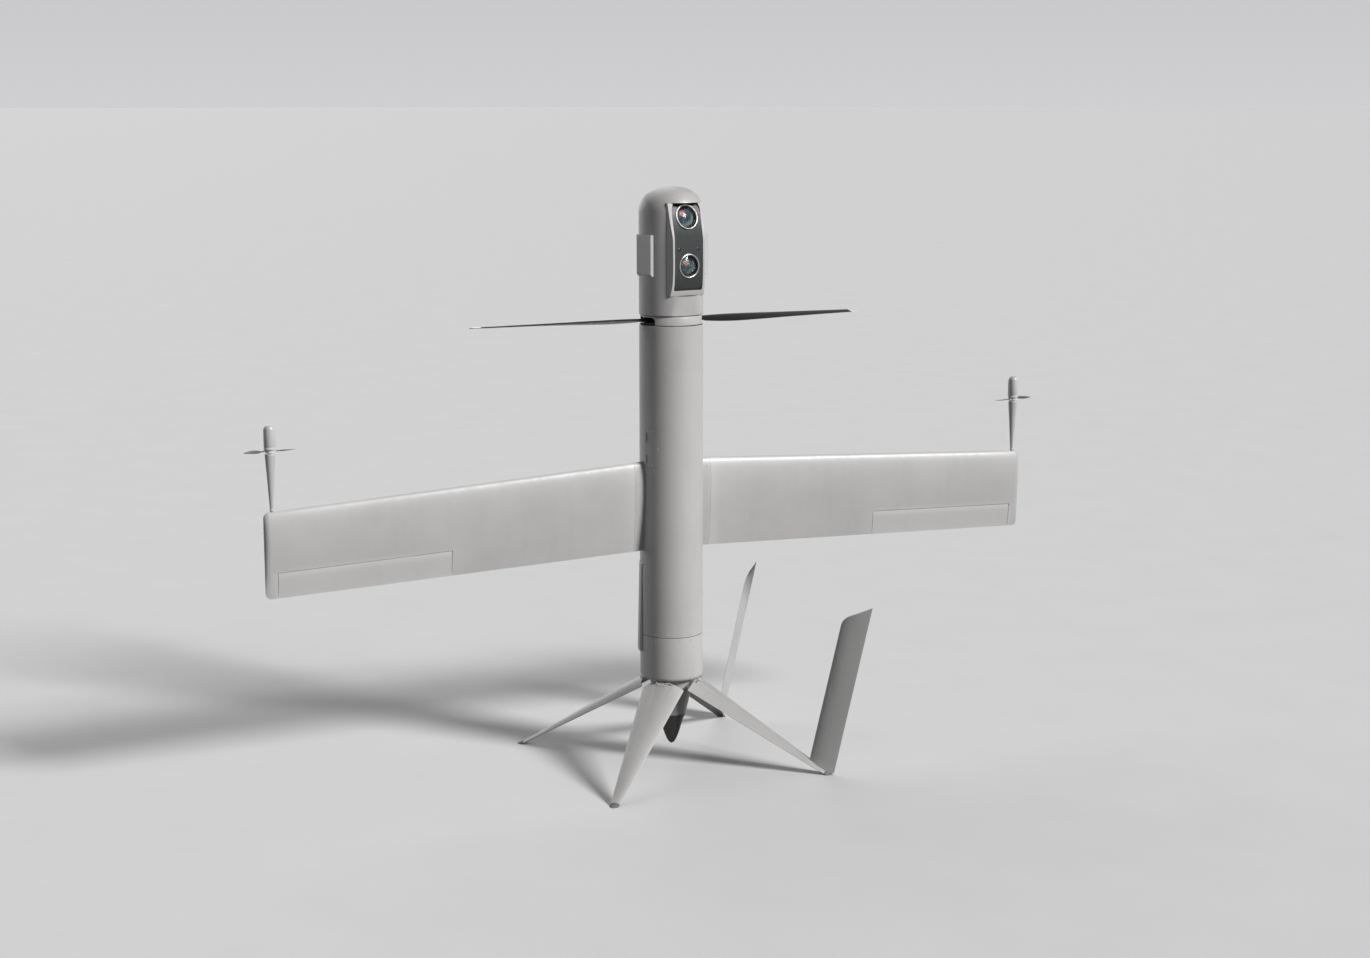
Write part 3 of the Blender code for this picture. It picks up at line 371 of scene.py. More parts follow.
def paint(name, colour, roughness=0.42, wear=0.35, grime=0.25, coat=0.15):
    """Satin paint on composite: faint mottling, runs of dust, orange peel and worn edges."""
    material, tree, shader = new_material(name)
    tint = mottled(colour, noise(tree, 5.0, 4.0), 0.94, 1.05)
    streaks = ranged(noise(tree, 22.0, 5.0, 0.6, (1, 1, 0.12)), 0.0, grime, 0.52, 0.80)
    tint = mixed(streaks, tint, scaled(colour, 0.72))
    specks = ranged(noise(tree, 420.0, 2.0), 0.0, 0.16, 0.60, 0.75)
    tint = mixed(specks, tint, scaled(colour, 0.62))
    tint = mixed(ranged(edges(tree), 0.0, wear, 0.0, 1.0), tint, scaled(colour, 1.45))
    rough = ranged(noise(tree, 60.0, 6.0), roughness - 0.06, roughness + 0.09)
    feed(shader, {"Base Color": tint, "Roughness": rough, "Coat Weight": coat, "Coat Roughness": 0.25})
    bumped(shader, ((noise(tree, 900.0, 2.0), 0.10, 0.0004), (noise(tree, 34.0, 3.0), 0.06, 0.0020)))
    return material


def metal(name, colour, roughness=0.32, stretch=(1, 1, 14), scale=260.0):
    material, tree, shader = new_material(name)
    grain = noise(tree, scale, 4.0, 0.6, stretch)
    stain = ranged(noise(tree, 40.0, 5.0), 0.0, 0.35, 0.5, 0.8)
    tint = mixed(stain, mottled(colour, grain, 0.82, 1.08), scaled(colour, 0.55))
    rough = ranged(grain, roughness - 0.08, roughness + 0.14)
    feed(shader, {"Base Color": tint, "Metallic": 1.0, "Roughness": rough})
    bumped(shader, ((grain, 0.12, 0.0002), (noise(tree, 700.0, 2.0), 0.05, 0.0002)))
    return material


def plastic(name, colour, roughness=0.5, grain=1400.0, strength=0.18, specular=0.5):
    material, tree, shader = new_material(name)
    tint = mottled(colour, noise(tree, 18.0, 5.0), 0.80, 1.18)
    tint = mixed(ranged(edges(tree), 0.0, 0.30, 0.0, 1.0), tint, scaled(colour, 1.9))
    rough = ranged(noise(tree, 90.0, 5.0), roughness - 0.08, roughness + 0.12)
    feed(shader, {"Base Color": tint, "Roughness": rough, "Specular IOR Level": specular})
    bumped(shader, ((noise(tree, grain, 3.0), strength, 0.0003), (noise(tree, 70.0, 3.0), 0.05, 0.001)))
    return material


def carbon(name, colour=(0.010, 0.010, 0.011), weave=0.0016):
    """Twill: two stripe waves at right angles, clear-coated."""
    material, tree, shader = new_material(name)
    place = node(tree, "TexCoord").outputs["Object"]
    waves = []
    for turn in (45.0, -45.0):
        rotation = (0.0, 0.0, radians(turn))
        mapping = node(tree, "Mapping", {"Rotation": rotation, "Vector": place})
        wave = node(tree, "TexWave", {"Scale": 1.0 / weave / 6.3, "Vector": mapping.outputs["Vector"]})
        waves.append(wave.outputs["Fac"])
    cross = node(tree, "Math", {0: waves[0], 1: waves[1]}, operation="MULTIPLY").outputs["Value"]
    tint = mixed(cross, scaled(colour, 0.7), scaled(colour, 2.4))
    rough = ranged(noise(tree, 50.0, 4.0), 0.28, 0.44)
    feed(shader, {"Base Color": tint, "Roughness": rough, "Specular IOR Level": 0.3, "Coat Weight": 0.15,
                  "Coat Roughness": 0.3})
    bumped(shader, ((cross, 0.10, 0.0002), (noise(tree, 500.0, 2.0), 0.05, 0.0002)))
    return material


def gloss(name, colour, roughness=0.10):
    """Dark tinted cover: glossy with faint dust and hairline scratches."""
    material, tree, shader = new_material(name)
    dust = ranged(noise(tree, 650.0, 3.0), 0.0, 0.10, 0.58, 0.72)
    tint = mixed(dust, mottled(colour, noise(tree, 12.0, 4.0), 0.85, 1.15), (0.16, 0.16, 0.16))
    scratches = noise(tree, 160.0, 4.0, 0.7, (1, 1, 0.05))
    rough = ranged(scratches, roughness, roughness + 0.10)
    feed(shader, {"Base Color": tint, "Roughness": rough, "Specular IOR Level": 0.35, "Coat Weight": 0.12,
                  "Coat Roughness": 0.12})
    bumped(shader, ((noise(tree, 24.0, 2.0), 0.03, 0.001), (scratches, 0.02, 0.0002)))
    return material


def lens_painted_reflection(name, highlight_centre, size):
    """Element whose colour is a painted reflection: a warm painted highlight round one point of the glass,
    teal and slate painted reflection away from it.
    """
    material, tree, shader = new_material(name)
    place = node(tree, "TexCoord").outputs["Object"]
    away = node(tree, "VectorMath", {0: place, 1: highlight_centre}, operation="DISTANCE").outputs["Value"]
    share = ranged(away, 0.0, 1.0, 0.0, size)
    ripple = ranged(noise(tree, 90.0, 3.0), -0.10, 0.10)
    total = node(tree, "Math", {0: share, 1: ripple}, operation="ADD").outputs["Value"]
    # painted reflection: a warm highlight near the centre point, then teal and slate further away
    stops = ((0.0, (0.90, 0.66, 0.44)), (0.14, (0.70, 0.42, 0.34)), (0.27, (0.26, 0.16, 0.22)),
             (0.40, (0.05, 0.10, 0.12)), (0.60, (0.05, 0.16, 0.15)), (0.80, (0.30, 0.38, 0.38)),
             (1.0, (0.05, 0.09, 0.09)))
    rough = ranged(noise(tree, 260.0, 3.0), 0.05, 0.12)
    feed(shader, {"Base Color": ramped(total, stops), "Roughness": rough, "Coat Weight": 0.4,
                  "Coat Roughness": 0.03})
    bumped(shader, ((noise(tree, 40.0, 2.0), 0.04, 0.0005),))
    return material


def coated_glass(name, colour, film, roughness, transmission):
    """Lens element with an interference film, its thickness in nanometres."""
    material, tree, shader = new_material(name)
    tint = mottled(colour, noise(tree, 30.0, 3.0), 0.8, 1.2)
    smear = ranged(noise(tree, 300.0, 4.0), roughness, roughness + 0.04)
    feed(shader, {"Base Color": tint, "Roughness": smear, "IOR": 1.7, "Transmission Weight": transmission,
                  "Thin Film Thickness": film, "Thin Film IOR": 1.38})
    bumped(shader, ((noise(tree, 20.0, 2.0), 0.02, 0.0005),))
    return material


PAINT = paint("body_paint", (0.380, 0.372, 0.366))
# Painted shade: the legs get a darker copy of the body grey, standing in for light they do not get.
LEG_SHADED_PAINT = paint("leg_shaded_paint", (0.315, 0.309, 0.304))
WING = paint("wing_paint", (0.380, 0.374, 0.370), 0.45)
# Painted light: the fins get a lighter copy of the body grey, standing in for key light that falls away from
# their faces.
FIN_LIT_PAINT = paint("fin_paint", (0.420, 0.420, 0.412), 0.46)
SEAM = plastic("seam_filler", (0.05, 0.05, 0.05), 0.7)
RUBBER = plastic("foot_rubber", (0.11, 0.11, 0.11), 0.72, 700.0, 0.35, 0.35)
CONE = plastic("cone_dark", (0.030, 0.029, 0.031), 0.48, 900.0, 0.20)
PROP = plastic("prop_plastic", (0.085, 0.085, 0.087), 0.42, 1200.0, 0.12)
CARBON = carbon("blade_carbon")
TIP_PAINT = paint("blade_tip_paint", (0.62, 0.62, 0.60), 0.35, 0.2, 0.1)
ALUMINIUM = metal("machined_aluminium", (0.62, 0.63, 0.65), 0.30)
RING_METAL = metal("lens_ring_metal", (0.55, 0.55, 0.54), 0.28, (1, 1, 1), 500.0)
STEEL = metal("ground_steel", (0.46, 0.46, 0.48), 0.26)
COPPER = metal("winding_copper", (0.72, 0.36, 0.18), 0.34, (1, 1, 30), 900.0)
BLACK = plastic("lens_barrel_black", (0.010, 0.010, 0.011), 0.45, 1800.0, 0.10)
WINDOW = gloss("tinted_window", (0.028, 0.029, 0.030), 0.30)
GLASS_FRONT = coated_glass("lens_front", (0.95, 0.98, 0.98), 120.0, 0.01, 1.0)
TANK = plastic("tank_moulding", (0.58, 0.56, 0.48), 0.40, 500.0, 0.15)
CASE = plastic("avionics_black", (0.05, 0.05, 0.055), 0.38, 1600.0, 0.2)
SPINNER = paint("spinner_paint", (0.42, 0.42, 0.42), 0.36, 0.5)


# ---- pieces
def placed(name, data):
    made = bpy.data.objects.new(name, data)
    bpy.context.scene.collection.objects.link(made)
    return made


def raw_object(name, shape):
    mesh = bpy.data.meshes.new(name)
    mesh.from_pydata(shape[0], [], shape[1])
    work = bmesh.new()
    work.from_mesh(mesh)
    bmesh.ops.recalc_face_normals(work, faces=work.faces)
    work.to_mesh(mesh)
    work.free()
    return placed(name, mesh)


def combine(target, operation, shape):
    """Boolean with a shape, after which the object's mesh is the result."""
    tool = raw_object("tool", shape)
    setup(target.modifiers.new(operation, "BOOLEAN"), operation=operation, solver="EXACT", object=tool)
    depsgraph = bpy.context.evaluated_depsgraph_get()
    result = bpy.data.meshes.new_from_object(target.evaluated_get(depsgraph))
    target.modifiers.clear()
    target.data = result
    bpy.data.objects.remove(tool, do_unlink=True)


def soften(target, width, corner, **settings):
    setup(target.modifiers.new("softened", "BEVEL"), width=width, segments=2, limit_method="ANGLE",
          angle_limit=radians(corner), **settings)


def piece(name, shape, body, slot, material, stands_for=(), adds=(), cuts=(), keeps=(), bevel=0.0006,
          corner=35.0, place=tuple):
    """One shown piece: its shape with Booleans, softened edges, material and the body it rides on."""
    made = raw_object(name, moved(shape, place))
    for operation, tools in (("UNION", adds), ("INTERSECT", keeps), ("DIFFERENCE", cuts)):
        for tool in tools:
            combine(made, operation, moved(tool, place))
    work = bmesh.new()
    work.from_mesh(made.data)
    bmesh.ops.remove_doubles(work, verts=work.verts, dist=0.00002)
    work.to_mesh(made.data)
    work.free()
    made.data.shade_smooth()
    made.data.set_sharp_from_angle(angle=radians(corner))
    if bevel:
        soften(made, bevel, corner, harden_normals=True, miter_outer="MITER_ARC")
    made.data.materials.clear()
    made.data.materials.append(material)
    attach(made, body)
    if stands_for:
        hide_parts(*stands_for)
    return made


def screw(centre, out, radius=0.0022):
    """Low countersunk head with a round socket, flush with a surface that faces out."""
    out = Vector(out).normalized()
    side = out.orthogonal().normalized()
    other = out.cross(side)
    profile = [(0.0, -0.0006), (radius, -0.0006), (radius, 0.0001), (radius * 0.86, 0.00035),
               (radius * 0.48, 0.00035), (radius * 0.44, -0.0004), (0.0, -0.0004)]
    points, faces = lathe(profile, 18)
    centre = Vector(centre)
    return [tuple(centre + side * x + other * y + out * z) for x, y, z in points], faces


def skin_screw(azimuth, height, radius=0.0022, lift=0.0, rise=0.0):
    """Screw on the round of the fuselage."""
    return screw((*polar(BODY_R + lift, azimuth), height), (*polar(1.0, azimuth), rise), radius)


def screws(name, body, heads, **options):
    piece(name, joined(*heads), body, "steel", STEEL, bevel=0, **options)


# ---- fuselage
def build_fuselage():
    hole = sector(BODY_R - 3 * SKIN, BODY_R + 3 * SKIN, (HATCH_AZ[0] - 0.3, HATCH_AZ[1] + 0.3),
                  HATCH_Z[0] - 0.0005, HATCH_Z[1] + 0.0005, 24)
    shell = lathe(tube_outline(BODY_R - SKIN, BODY_R, TAIL_SEAM + 0.0011, SHELL_TOP, 0.0008))
    piece("fuselage_skin", shell, "airframe", "body_paint", PAINT, ("fuselage_shell",), cuts=(hole,),
          bevel=0.0004)

    profile = [(BODY_R - 0.0008, TAIL_SEAM - 0.0006), (BODY_R, TAIL_SEAM - 0.0014)]
    rim = (BODY_R - TAIL_FILLET, TAIL_BOTTOM + TAIL_FILLET)
    inner = TAIL_FILLET - SKIN
    profile += arc(rim, (TAIL_FILLET, -TAIL_FILLET), 0, 90, 12) + arc(rim, (inner, -inner), 90, 0, 12)
    profile.append((BODY_R - SKIN, TAIL_SEAM - 0.0006))
    piece("tail_can", lathe(profile), "airframe", "body_paint", PAINT, ("tail_section",), bevel=0)
    band = tube_outline(BODY_R - SKIN - 0.001, BODY_R - 0.0007, TAIL_SEAM - 0.003, TAIL_SEAM + 0.004)
    piece("seam_band", lathe(band, 96), "airframe", "dark_cap", SEAM, bevel=0)
    heads = []
    for height in (TAIL_SEAM + 0.012, TAIL_SEAM - 0.012):
        azimuths = [11.25 + 22.5 * i for i in range(16)]
        heads += [skin_screw(azimuth, height, 0.0019) for azimuth in azimuths if abs(azimuth - 180.0) >= 92.0]
    screws("seam_screws", "airframe", heads)

    cone = smooth_path([(0.0800, 0.3168), (0.0667, 0.2410), (0.0521, 0.1768)], 8)
    inside = [(radius - 0.003, height) for radius, height in reversed(cone)]
    piece("tail_cone_skin", lathe(cone + inside, 96), "airframe", "body_paint", PAINT, ("tail_cone",))
    tip = smooth_path([(0.0520, 0.1763), (0.0374, 0.1360), (0.0300, 0.1100), (0.0208, 0.0850),
                       (0.0110, 0.0670), (0.0, 0.0590)], 6)
    hollow = [(0.0, 0.0640), (0.0170, 0.0860), (0.0338, 0.1360), (0.0485, 0.1763)]
    piece("tail_cone_cap", lathe(tip + hollow, 96), "airframe", "dark_cap", CONE, ("tail_cone_tip",))


def build_fairing():
    """Bulge over the back whose sides and top run out to a thin flange."""
    half = FAIRING_HALF_ANGLE
    steps = 96
    foot = BODY_R + FAIRING_SEAT
    sections = []
    for step in range(steps + 1):
        angle = -half + 2 * half * step / steps
        azimuth = 180.0 + angle
        edge = (half - abs(angle)) / 3.0
        rise = sqrt(min(1.0, 0.16 + edge * (2 - edge) * 0.84)) if edge < 1 else 1.0
        section = []
        for share in (0.0, 0.02, 0.06, 0.3, 0.6, 0.9, 0.985, 1.0):
            full = blend((0.0003, 0.0086), share) if share > 0.03 else 0.0003 + 0.0020 * share / 0.03
            full = max(full, 0.0020 + 0.0066 * share) if share >= 0.02 else full
            section.append((*polar(foot + full * rise, azimuth), blend((FAIRING_Z[1], FAIRING_Z[0]), share)))
        under = foot if edge < 0.42 else foot + 0.0066 * rise
        section.append((*polar(under, azimuth), FAIRING_INNER_Z))
        section.append((*polar(foot, azimuth), FAIRING_Z[1] - 0.001))
        sections.append(section)
    piece("outlet_fairing", loft(sections), "airframe", "body_paint", PAINT, ("cooling_outlet_fairing",),
          bevel=0.0003, corner=45.0)
    heads = [skin_screw(100 + 32 * i, 0.728, lift=0.0029, rise=0.03) for i in range(6)]
    screws("fairing_screws", "airframe", heads)


def build_hatch():
    panel = sector(BODY_R - SKIN, BODY_R, HATCH_AZ, *HATCH_Z, 24)
    extras = []
    hinge = polar(*HATCH_HINGE)
    outer = HATCH_HINGE[0] + 0.0008
    for low, high in HATCH_LEAVES:
        extras.append(sector(BODY_R - SKIN / 2, outer, (HATCH_AZ[0] + 0.05, -75.4), low, high, 2))
        extras.append(sector(HATCH_HINGE[0] - 0.0007, outer, (HATCH_HINGE[1], -75.6), low, high, 2))
        extras.append(rod((*hinge, low - 0.002), (*hinge, high + 0.002), HATCH_PIN_R, 16))
    piece("hatch_panel", panel, "hatch", "body_paint", PAINT, ("access_hatch",), adds=extras, bevel=0.0004)
    heads = [skin_screw(azimuth, height) for azimuth in (-73.5, -61.8, -50.0)
             for height in (HATCH_Z[0] + 0.008, HATCH_Z[1] - 0.008)]
    screws("hatch_screws", "hatch", heads + [skin_screw(-50.0, 1.17, 0.0042)])


# ---- wing
def half_thickness(share):
    root = 0.2969 * sqrt(share)
    rest = -0.1260 * share - 0.3516 * share**2 + 0.2843 * share**3 - 0.1015 * share**4
    return 5 * WING_THICKNESS * (root + rest)


def wing_edges(span, trim=0.0):
    """Leading edge's height and the chord at a distance from the middle."""
    lead = LEAD[0] + LEAD[1] * span - trim
    return lead, lead - (TRAIL[0] + TRAIL[1] * span + trim)


def both_faces(shares, face, lead, chord, thin=1.0, thicken=0.0):
    """Along one face of the aerofoil and back along the other."""
    outline = []
    for sign, row in ((face, shares), (-face, reversed(shares))):
        outline += [(sign * (thin * chord * half_thickness(share) + thicken), lead - chord * share)
                    for share in row]
    return outline


def wing_section(side, span, trim=0.0, thin=1.0, thicken=0.0):
    lead, chord = wing_edges(span, trim)
    shares = [(1 - cos(pi * i / 36)) / 2 for i in range(1, 37)]
    outline = [(0.0, lead + thicken)] + both_faces(shares, 1, lead, chord, thin, thicken)
    return [(side * span, y, z) for y, z in outline]


def hinge_at(span):
    height = blend(HINGE_Z, (span - HINGE_SPAN[0]) / (HINGE_SPAN[1] - HINGE_SPAN[0]))
    lead, chord = wing_edges(span)
    return height, chord * half_thickness((lead - height) / chord)


def bay_section(side, span):
    height, half = hinge_at(span)
    floor = TRAIL[0] + TRAIL[1] * span - 0.02
    lip = height + AILERON_LIP
    wide = 0.03
    start = degrees(asin(AILERON_LIP / half))
    outline = [(wide, floor), (wide, lip), *arc((0.0, height), (half, half), start, 180 - start, 24),
               (-wide, lip), (-wide, floor)]
    return [(side * span, y, z) for y, z in outline]


def aileron_section(side, span):
    height, half = hinge_at(span)
    lead, chord = wing_edges(span)
    nose = half - AILERON_GAP
    hinge_share = (lead - height) / chord
    shares = [hinge_share + (1 - hinge_share) * part for part in (0.12, 0.25, 0.4, 0.55, 0.7, 0.85, 1.0)]
    outline = arc((0.0, height), (nose, nose), 0, 180, 20) + both_faces(shares, -1, lead, chord)
    return [(side * span, y, z) for y, z in outline]


def build_wing(name, side):
    sections = [wing_section(side, PANEL_START)]
    sections += [wing_section(side, 0.2 + 0.08 * step) for step in range(16)]
    for step in range(10):
        share = sin(radians(9 * step + 4))
        drop = sqrt(1 - share**2)
        sections.append(wing_section(side, HALF_SPAN - TIP_RADIUS * (1 - share), TIP_RADIUS * (1 - drop),
                                     drop ** 0.8))
    sections.append(wing_section(side, HALF_SPAN, TIP_RADIUS * 0.98, 0.06))
    bay = loft([bay_section(side, HINGE_SPAN[0]), bay_section(side, HINGE_SPAN[1])])
    lead = wing_edges(THRUSTER_X)[0]
    socket = rod((side * THRUSTER_X, 0, lead - 0.050), (side * THRUSTER_X, 0, lead + 0.02), SOCKET_R)
    piece(name + "_wing_skin", loft(sections), "airframe", "wing_paint", WING, (name + "_wing",),
          cuts=(bay, socket), bevel=0, corner=40.0)
    seal = loft([seal_section(side, HINGE_SPAN[0] + 0.0004), seal_section(side, HINGE_SPAN[1] - 0.0004)])
    piece(name + "_hinge_seal", seal, "airframe", "dark_cap", SEAM, bevel=0)
    build_wing_details(name, side)

    fitting = loft([wing_section(side, FITTING_START), wing_section(side, FITTING_END)])
    cuff = loft([wing_section(side, span, thicken=CUFF_RISE) for span in (FITTING_START, CUFF_END)])
    hull = rod((0, 0, 0.7), (0, 0, 1.2), BODY_R + 0.0004, FINE)
    piece(name + "_root_fairing", fitting, "airframe", "wing_paint", WING, (name + "_wing_root_fitting",),
          adds=(cuff,), cuts=(hull,), bevel=0.0004, corner=40.0)

    start = HINGE_SPAN[0] + AILERON_END_GAP
    end = HINGE_SPAN[1] - AILERON_END_GAP
    flap = loft([aileron_section(side, start), aileron_section(side, end)])
    piece(name + "_aileron_skin", flap, name + "_flap", "wing_paint", WING, (name + "_aileron",),
          bevel=0.0004, corner=40.0)


def seal_section(side, span):
    """Thin dark strip that lines the round nose of the aileron bay."""
    height, half = hinge_at(span)
    outer = half - 0.0001
    inner = half - 0.0009
    outline = arc((0.0, height), (outer, outer), 8, 172, 24) + arc((0.0, height), (inner, inner), 172, 8, 24)
    return [(side * span, y, z) for y, z in outline]


def build_wing_details(name, side):
    """Screws of the root joint on both faces, and round service plates on the back."""
    heads = []
    plates = []

    def on_face(face, span, share):
        lead, chord = wing_edges(span)
        return side * span, face * chord * half_thickness(share), lead - chord * share

    for span, share in ((0.46, 0.30), (0.98, 0.32)):
        x, y, z = on_face(1, span, share)
        disc = lathe([(0.0, -0.0006), (0.021, -0.0006), (0.021, 0.0002), (0.0202, 0.0005), (0.0, 0.0005)], 64)
        plates.append(moved(disc, lambda p, x=x, y=y, z=z: (x + p[0], y + p[2], z + p[1])))
        for across, up in arc((x, z), (0.016, 0.016), 45, 315, 3):
            heads.append(screw((across, y + 0.0004, up), (0, 1, 0), 0.0018))
    for face in (1, -1):
        for share in (0.10, 0.25, 0.42, 0.60, 0.78, 0.92):
            heads.append(screw(on_face(face, 0.135, share), (0, face, 0), 0.0019))
    piece(name + "_service_plates", joined(*plates), "airframe", "wing_paint", WING, bevel=0)
    screws(name + "_wing_screws", "airframe", heads)


# ---- wing-tip thrusters
def build_thruster(name, side):
    at = turned(0.0, (side * THRUSTER_X, 0.0, PROP_Z))
    lead = wing_edges(THRUSTER_X)[0] - PROP_Z
    taper = smooth_path([(0.0054, lead + 0.0100), (0.0082, -0.1500), (0.0112, -0.1000), (0.0146, -0.0500),
                         (0.0170, -0.0115)], 6)
    boom = [(0.0, lead - 0.049), (0.0040, lead - 0.049), (0.0040, lead + 0.0016), (0.0058, lead + 0.0020),
            (0.0065, lead + 0.0030), (0.0065, lead + 0.0084), (0.0060, lead + 0.0092)]
    boom += taper + [(0.0169, -0.0100), (0.0160, -0.0085), (0.0, -0.0085)]
    piece(name + "_boom_skin", lathe(boom, 64), "airframe", "body_paint", PAINT, (name + "_thruster_boom",),
          bevel=0, place=at)
    core = lathe([(0.0, -0.0080), (0.0060, -0.0080), (0.0060, 0.0090), (0.0088, 0.0092), (0.0088, 0.0500),
                  (0.0050, 0.0520), (0.0, 0.0520)], 48)
    piece(name + "_stator_core", core, "airframe", "steel", STEEL, (name + "_thruster_motor",), place=at)
    windings = [rod((x, y, 0.0100), (x, y, 0.0490), 0.0019, 12)
                for x, y in arc((0.0, 0.0), (0.0102, 0.0102), 0, 330, 11)]
    piece(name + "_windings", joined(*windings), "airframe", "steel", COPPER, place=at)

    body = name + "_spinner"
    spin = turned(PROP_TURN[name], (side * THRUSTER_X, 0.0, PROP_Z))
    crown = smooth_path([(0.0, 0.0883), (0.0080, 0.0872), (0.0145, 0.0835), (0.0185, 0.0765),
                         (0.0195, 0.0690)], 8)
    can = crown + [
        (0.0195, 0.0150), (0.0193, 0.0146), (0.0193, 0.0138), (0.0195, 0.0134),
        (0.0195, 0.0064), (0.0192, 0.0060), (0.0170, 0.0043), (0.0138, 0.0043), (0.0138, -0.0055),
        (0.0078, -0.0055), (0.0078, 0.0075), (0.0155, 0.0075), (0.0155, 0.0655), (0.0, 0.0655),
    ]
    lugs = []
    for facing in (1, -1):
        for y in (-0.0058, 0.0040):
            ear = [(facing * 0.0120, -0.0034), (facing * 0.0120, 0.0034)]
            ear += [(facing * x, z) for x, z in arc((FOLD_X, 0.0), (0.0033, 0.0033), 90, -90, 12)]
            lugs.append(extrude(ear, y, y + 0.0018, "Y"))
        lugs.append(rod((facing * FOLD_X, -0.0063, 0), (facing * FOLD_X, 0.0063, 0), 0.0011, 16))
    piece(name + "_spinner_can", lathe(can, 64), body, "machined_aluminium", SPINNER,
          (name + "_thruster_spinner",), adds=lugs, bevel=0.0003, place=spin)

    knots = [(0.0012, 0.0056, 0.0050, 0.0, 0.0), (0.0100, 0.0105, 0.0030, 14, 0.0002),
             (0.0220, 0.0210, 0.0024, 20, 0.0012), (0.0360, 0.0255, 0.0021, 18, 0.0012),
             (0.0500, 0.0235, 0.0018, 15, -0.0006), (0.0620, 0.0170, 0.0015, 13, -0.0038),
             (0.0700, 0.0090, 0.0012, 12, -0.0070), (0.0725, 0.0030, 0.0009, 12, -0.0092)]
    for label, facing in (("a", 0.0), ("b", 180.0)):
        flip = turned(facing)
        sections = []
        for x, width, thickness, pitch, sweep in smooth_path(knots, 5):
            turn = radians(side * pitch)
            ring = []
            for i in range(24):
                angle = 2 * pi * i / 24
                y = width / 2 * cos(angle)
                z = thickness / 2 * sin(angle) * (0.55 + 0.45 * abs(sin(angle)))
                across, lift = rotated(y, z, turn)
                ring.append((x, side * sweep + across, lift))
            sections.append(ring)
        barrel = rod((0, -0.0034, 0), (0, 0.0034, 0), 0.0030, 24)
        bore = rod((0, -0.01, 0), (0, 0.01, 0), 0.0013, 16)

        def place(point, flip=flip):
            x, y, z = point
            return spin(flip((x + FOLD_X, y, z)))

        own = name + "_prop_" + label
        piece(own, loft(sections), own, "prop_plastic", PROP, (name + "_prop_blade_" + label,),
              adds=(barrel,), cuts=(bore,), bevel=0, place=place)


# ---- rotor
def build_rotor():
    low, high = RING_Z
    profile = [(0.0115, high - 0.003), (0.0115, high), (RING_R - 0.0020, high),
               (RING_R - 0.0006, high - 0.0006), (RING_R, high - 0.0020), (RING_R, low + 0.0005),
               (RING_R - 0.0005, low), (RING_R - SKIN, low), (RING_R - SKIN, high - 0.003)]
    half = RING_R * sin(radians(RING_OPENING))
    top = high - 0.004
    corner = 0.014
    outline = [(half, low - 0.01)] + arc((half - corner, top - corner), (corner, corner), 0, 90, 12)
    outline += [(-y, z) for y, z in reversed(outline)]
    piece("rotor_drum", lathe(profile), "rotor", "body_paint", PAINT, ("rotor_ring",),
          cuts=(extrude(outline, -0.2, 0.2, "X"),), bevel=0.0004)

    knots = [(0.1020, 0.018, 0.80, 23.0), (0.1180, 0.030, 0.38, 23.0), (0.1320, 0.040, 0.17, 23.0),
             (0.2200, 0.058, 0.12, 20.5), (0.3200, 0.062, 0.12, 16.5), (0.4700, 0.056, 0.12, 12.0),
             (0.6200, 0.049, 0.12, 8.5), (0.7400, 0.043, 0.11, 6.2), (0.7560, 0.036, 0.10, 6.0),
             (0.7600, 0.022, 0.09, 6.0)]
    stations = smooth_path(knots, 6)
    shares = [(1 - cos(pi * i / 14)) / 2 for i in range(15)]

    def ring_at(x, chord, thickness, pitch, grow=0.0):
        turn = radians(pitch)
        outline = [(share, half_thickness(share) / WING_THICKNESS * thickness) for share in shares]
        outline += [(share, -half) for share, half in reversed(outline[1:])]
        ring = []
        for share, half in outline:
            y = (0.32 - share) * chord
            z = half * chord
            y += copysign(grow, y)
            z += copysign(grow, z)
            ring.append((x, *rotated(y, z, turn)))
        return ring

    for name, turn in (("right", 0.0), ("left", 180.0)):
        place = turned(turn, (0, 0, ROTOR_Z))
        blade = loft([ring_at(*station) for station in stations])
        cuff = rod((0.030, 0, 0), (0.108, 0, 0), 0.0115, 48)
        bore = rod((0.02, 0, 0), (0.058, 0, 0), 0.0065, 32)
        horn = box((0.034, 0.006, -0.003), (0.042, 0.0265, 0.003))
        piece(name + "_blade_skin", blade, name + "_blade", "carbon", CARBON, (name + "_rotor_blade",),
              adds=(cuff, horn), cuts=(bore,), bevel=0.0003, corner=45.0, place=place)
        tip = loft([ring_at(*station, grow=0.00012) for station in stations if station[0] > TIP_BAND_START])
        piece(name + "_blade_tip_band", tip, name + "_blade", "body_paint", TIP_PAINT, bevel=0, place=place)


# ---- sensor head
HEAD = turned(HEAD_TURN)


def head_piece(name, shape, slot, material, stands_for=(), **options):
    piece(name, shape, "head", slot, material, stands_for, place=HEAD, **options)


def arch_outline(inset):
    half = OPENING_HALF - inset
    radius = (ARCH_R[0] - inset, ARCH_R[1])
    centre = half - radius[0]
    floor = OPENING_BOTTOM + inset
    corner = 0.006
    right = arc((half - corner, floor + corner), (corner, corner), -90, 0, 6)
    right += arc((centre, ARCH_BASE), radius, 0, 90, 20)[:-1] + [(centre, BEZEL_Z[1] + 0.01)]
    return [(-x, z) for x, z in reversed(right)] + right


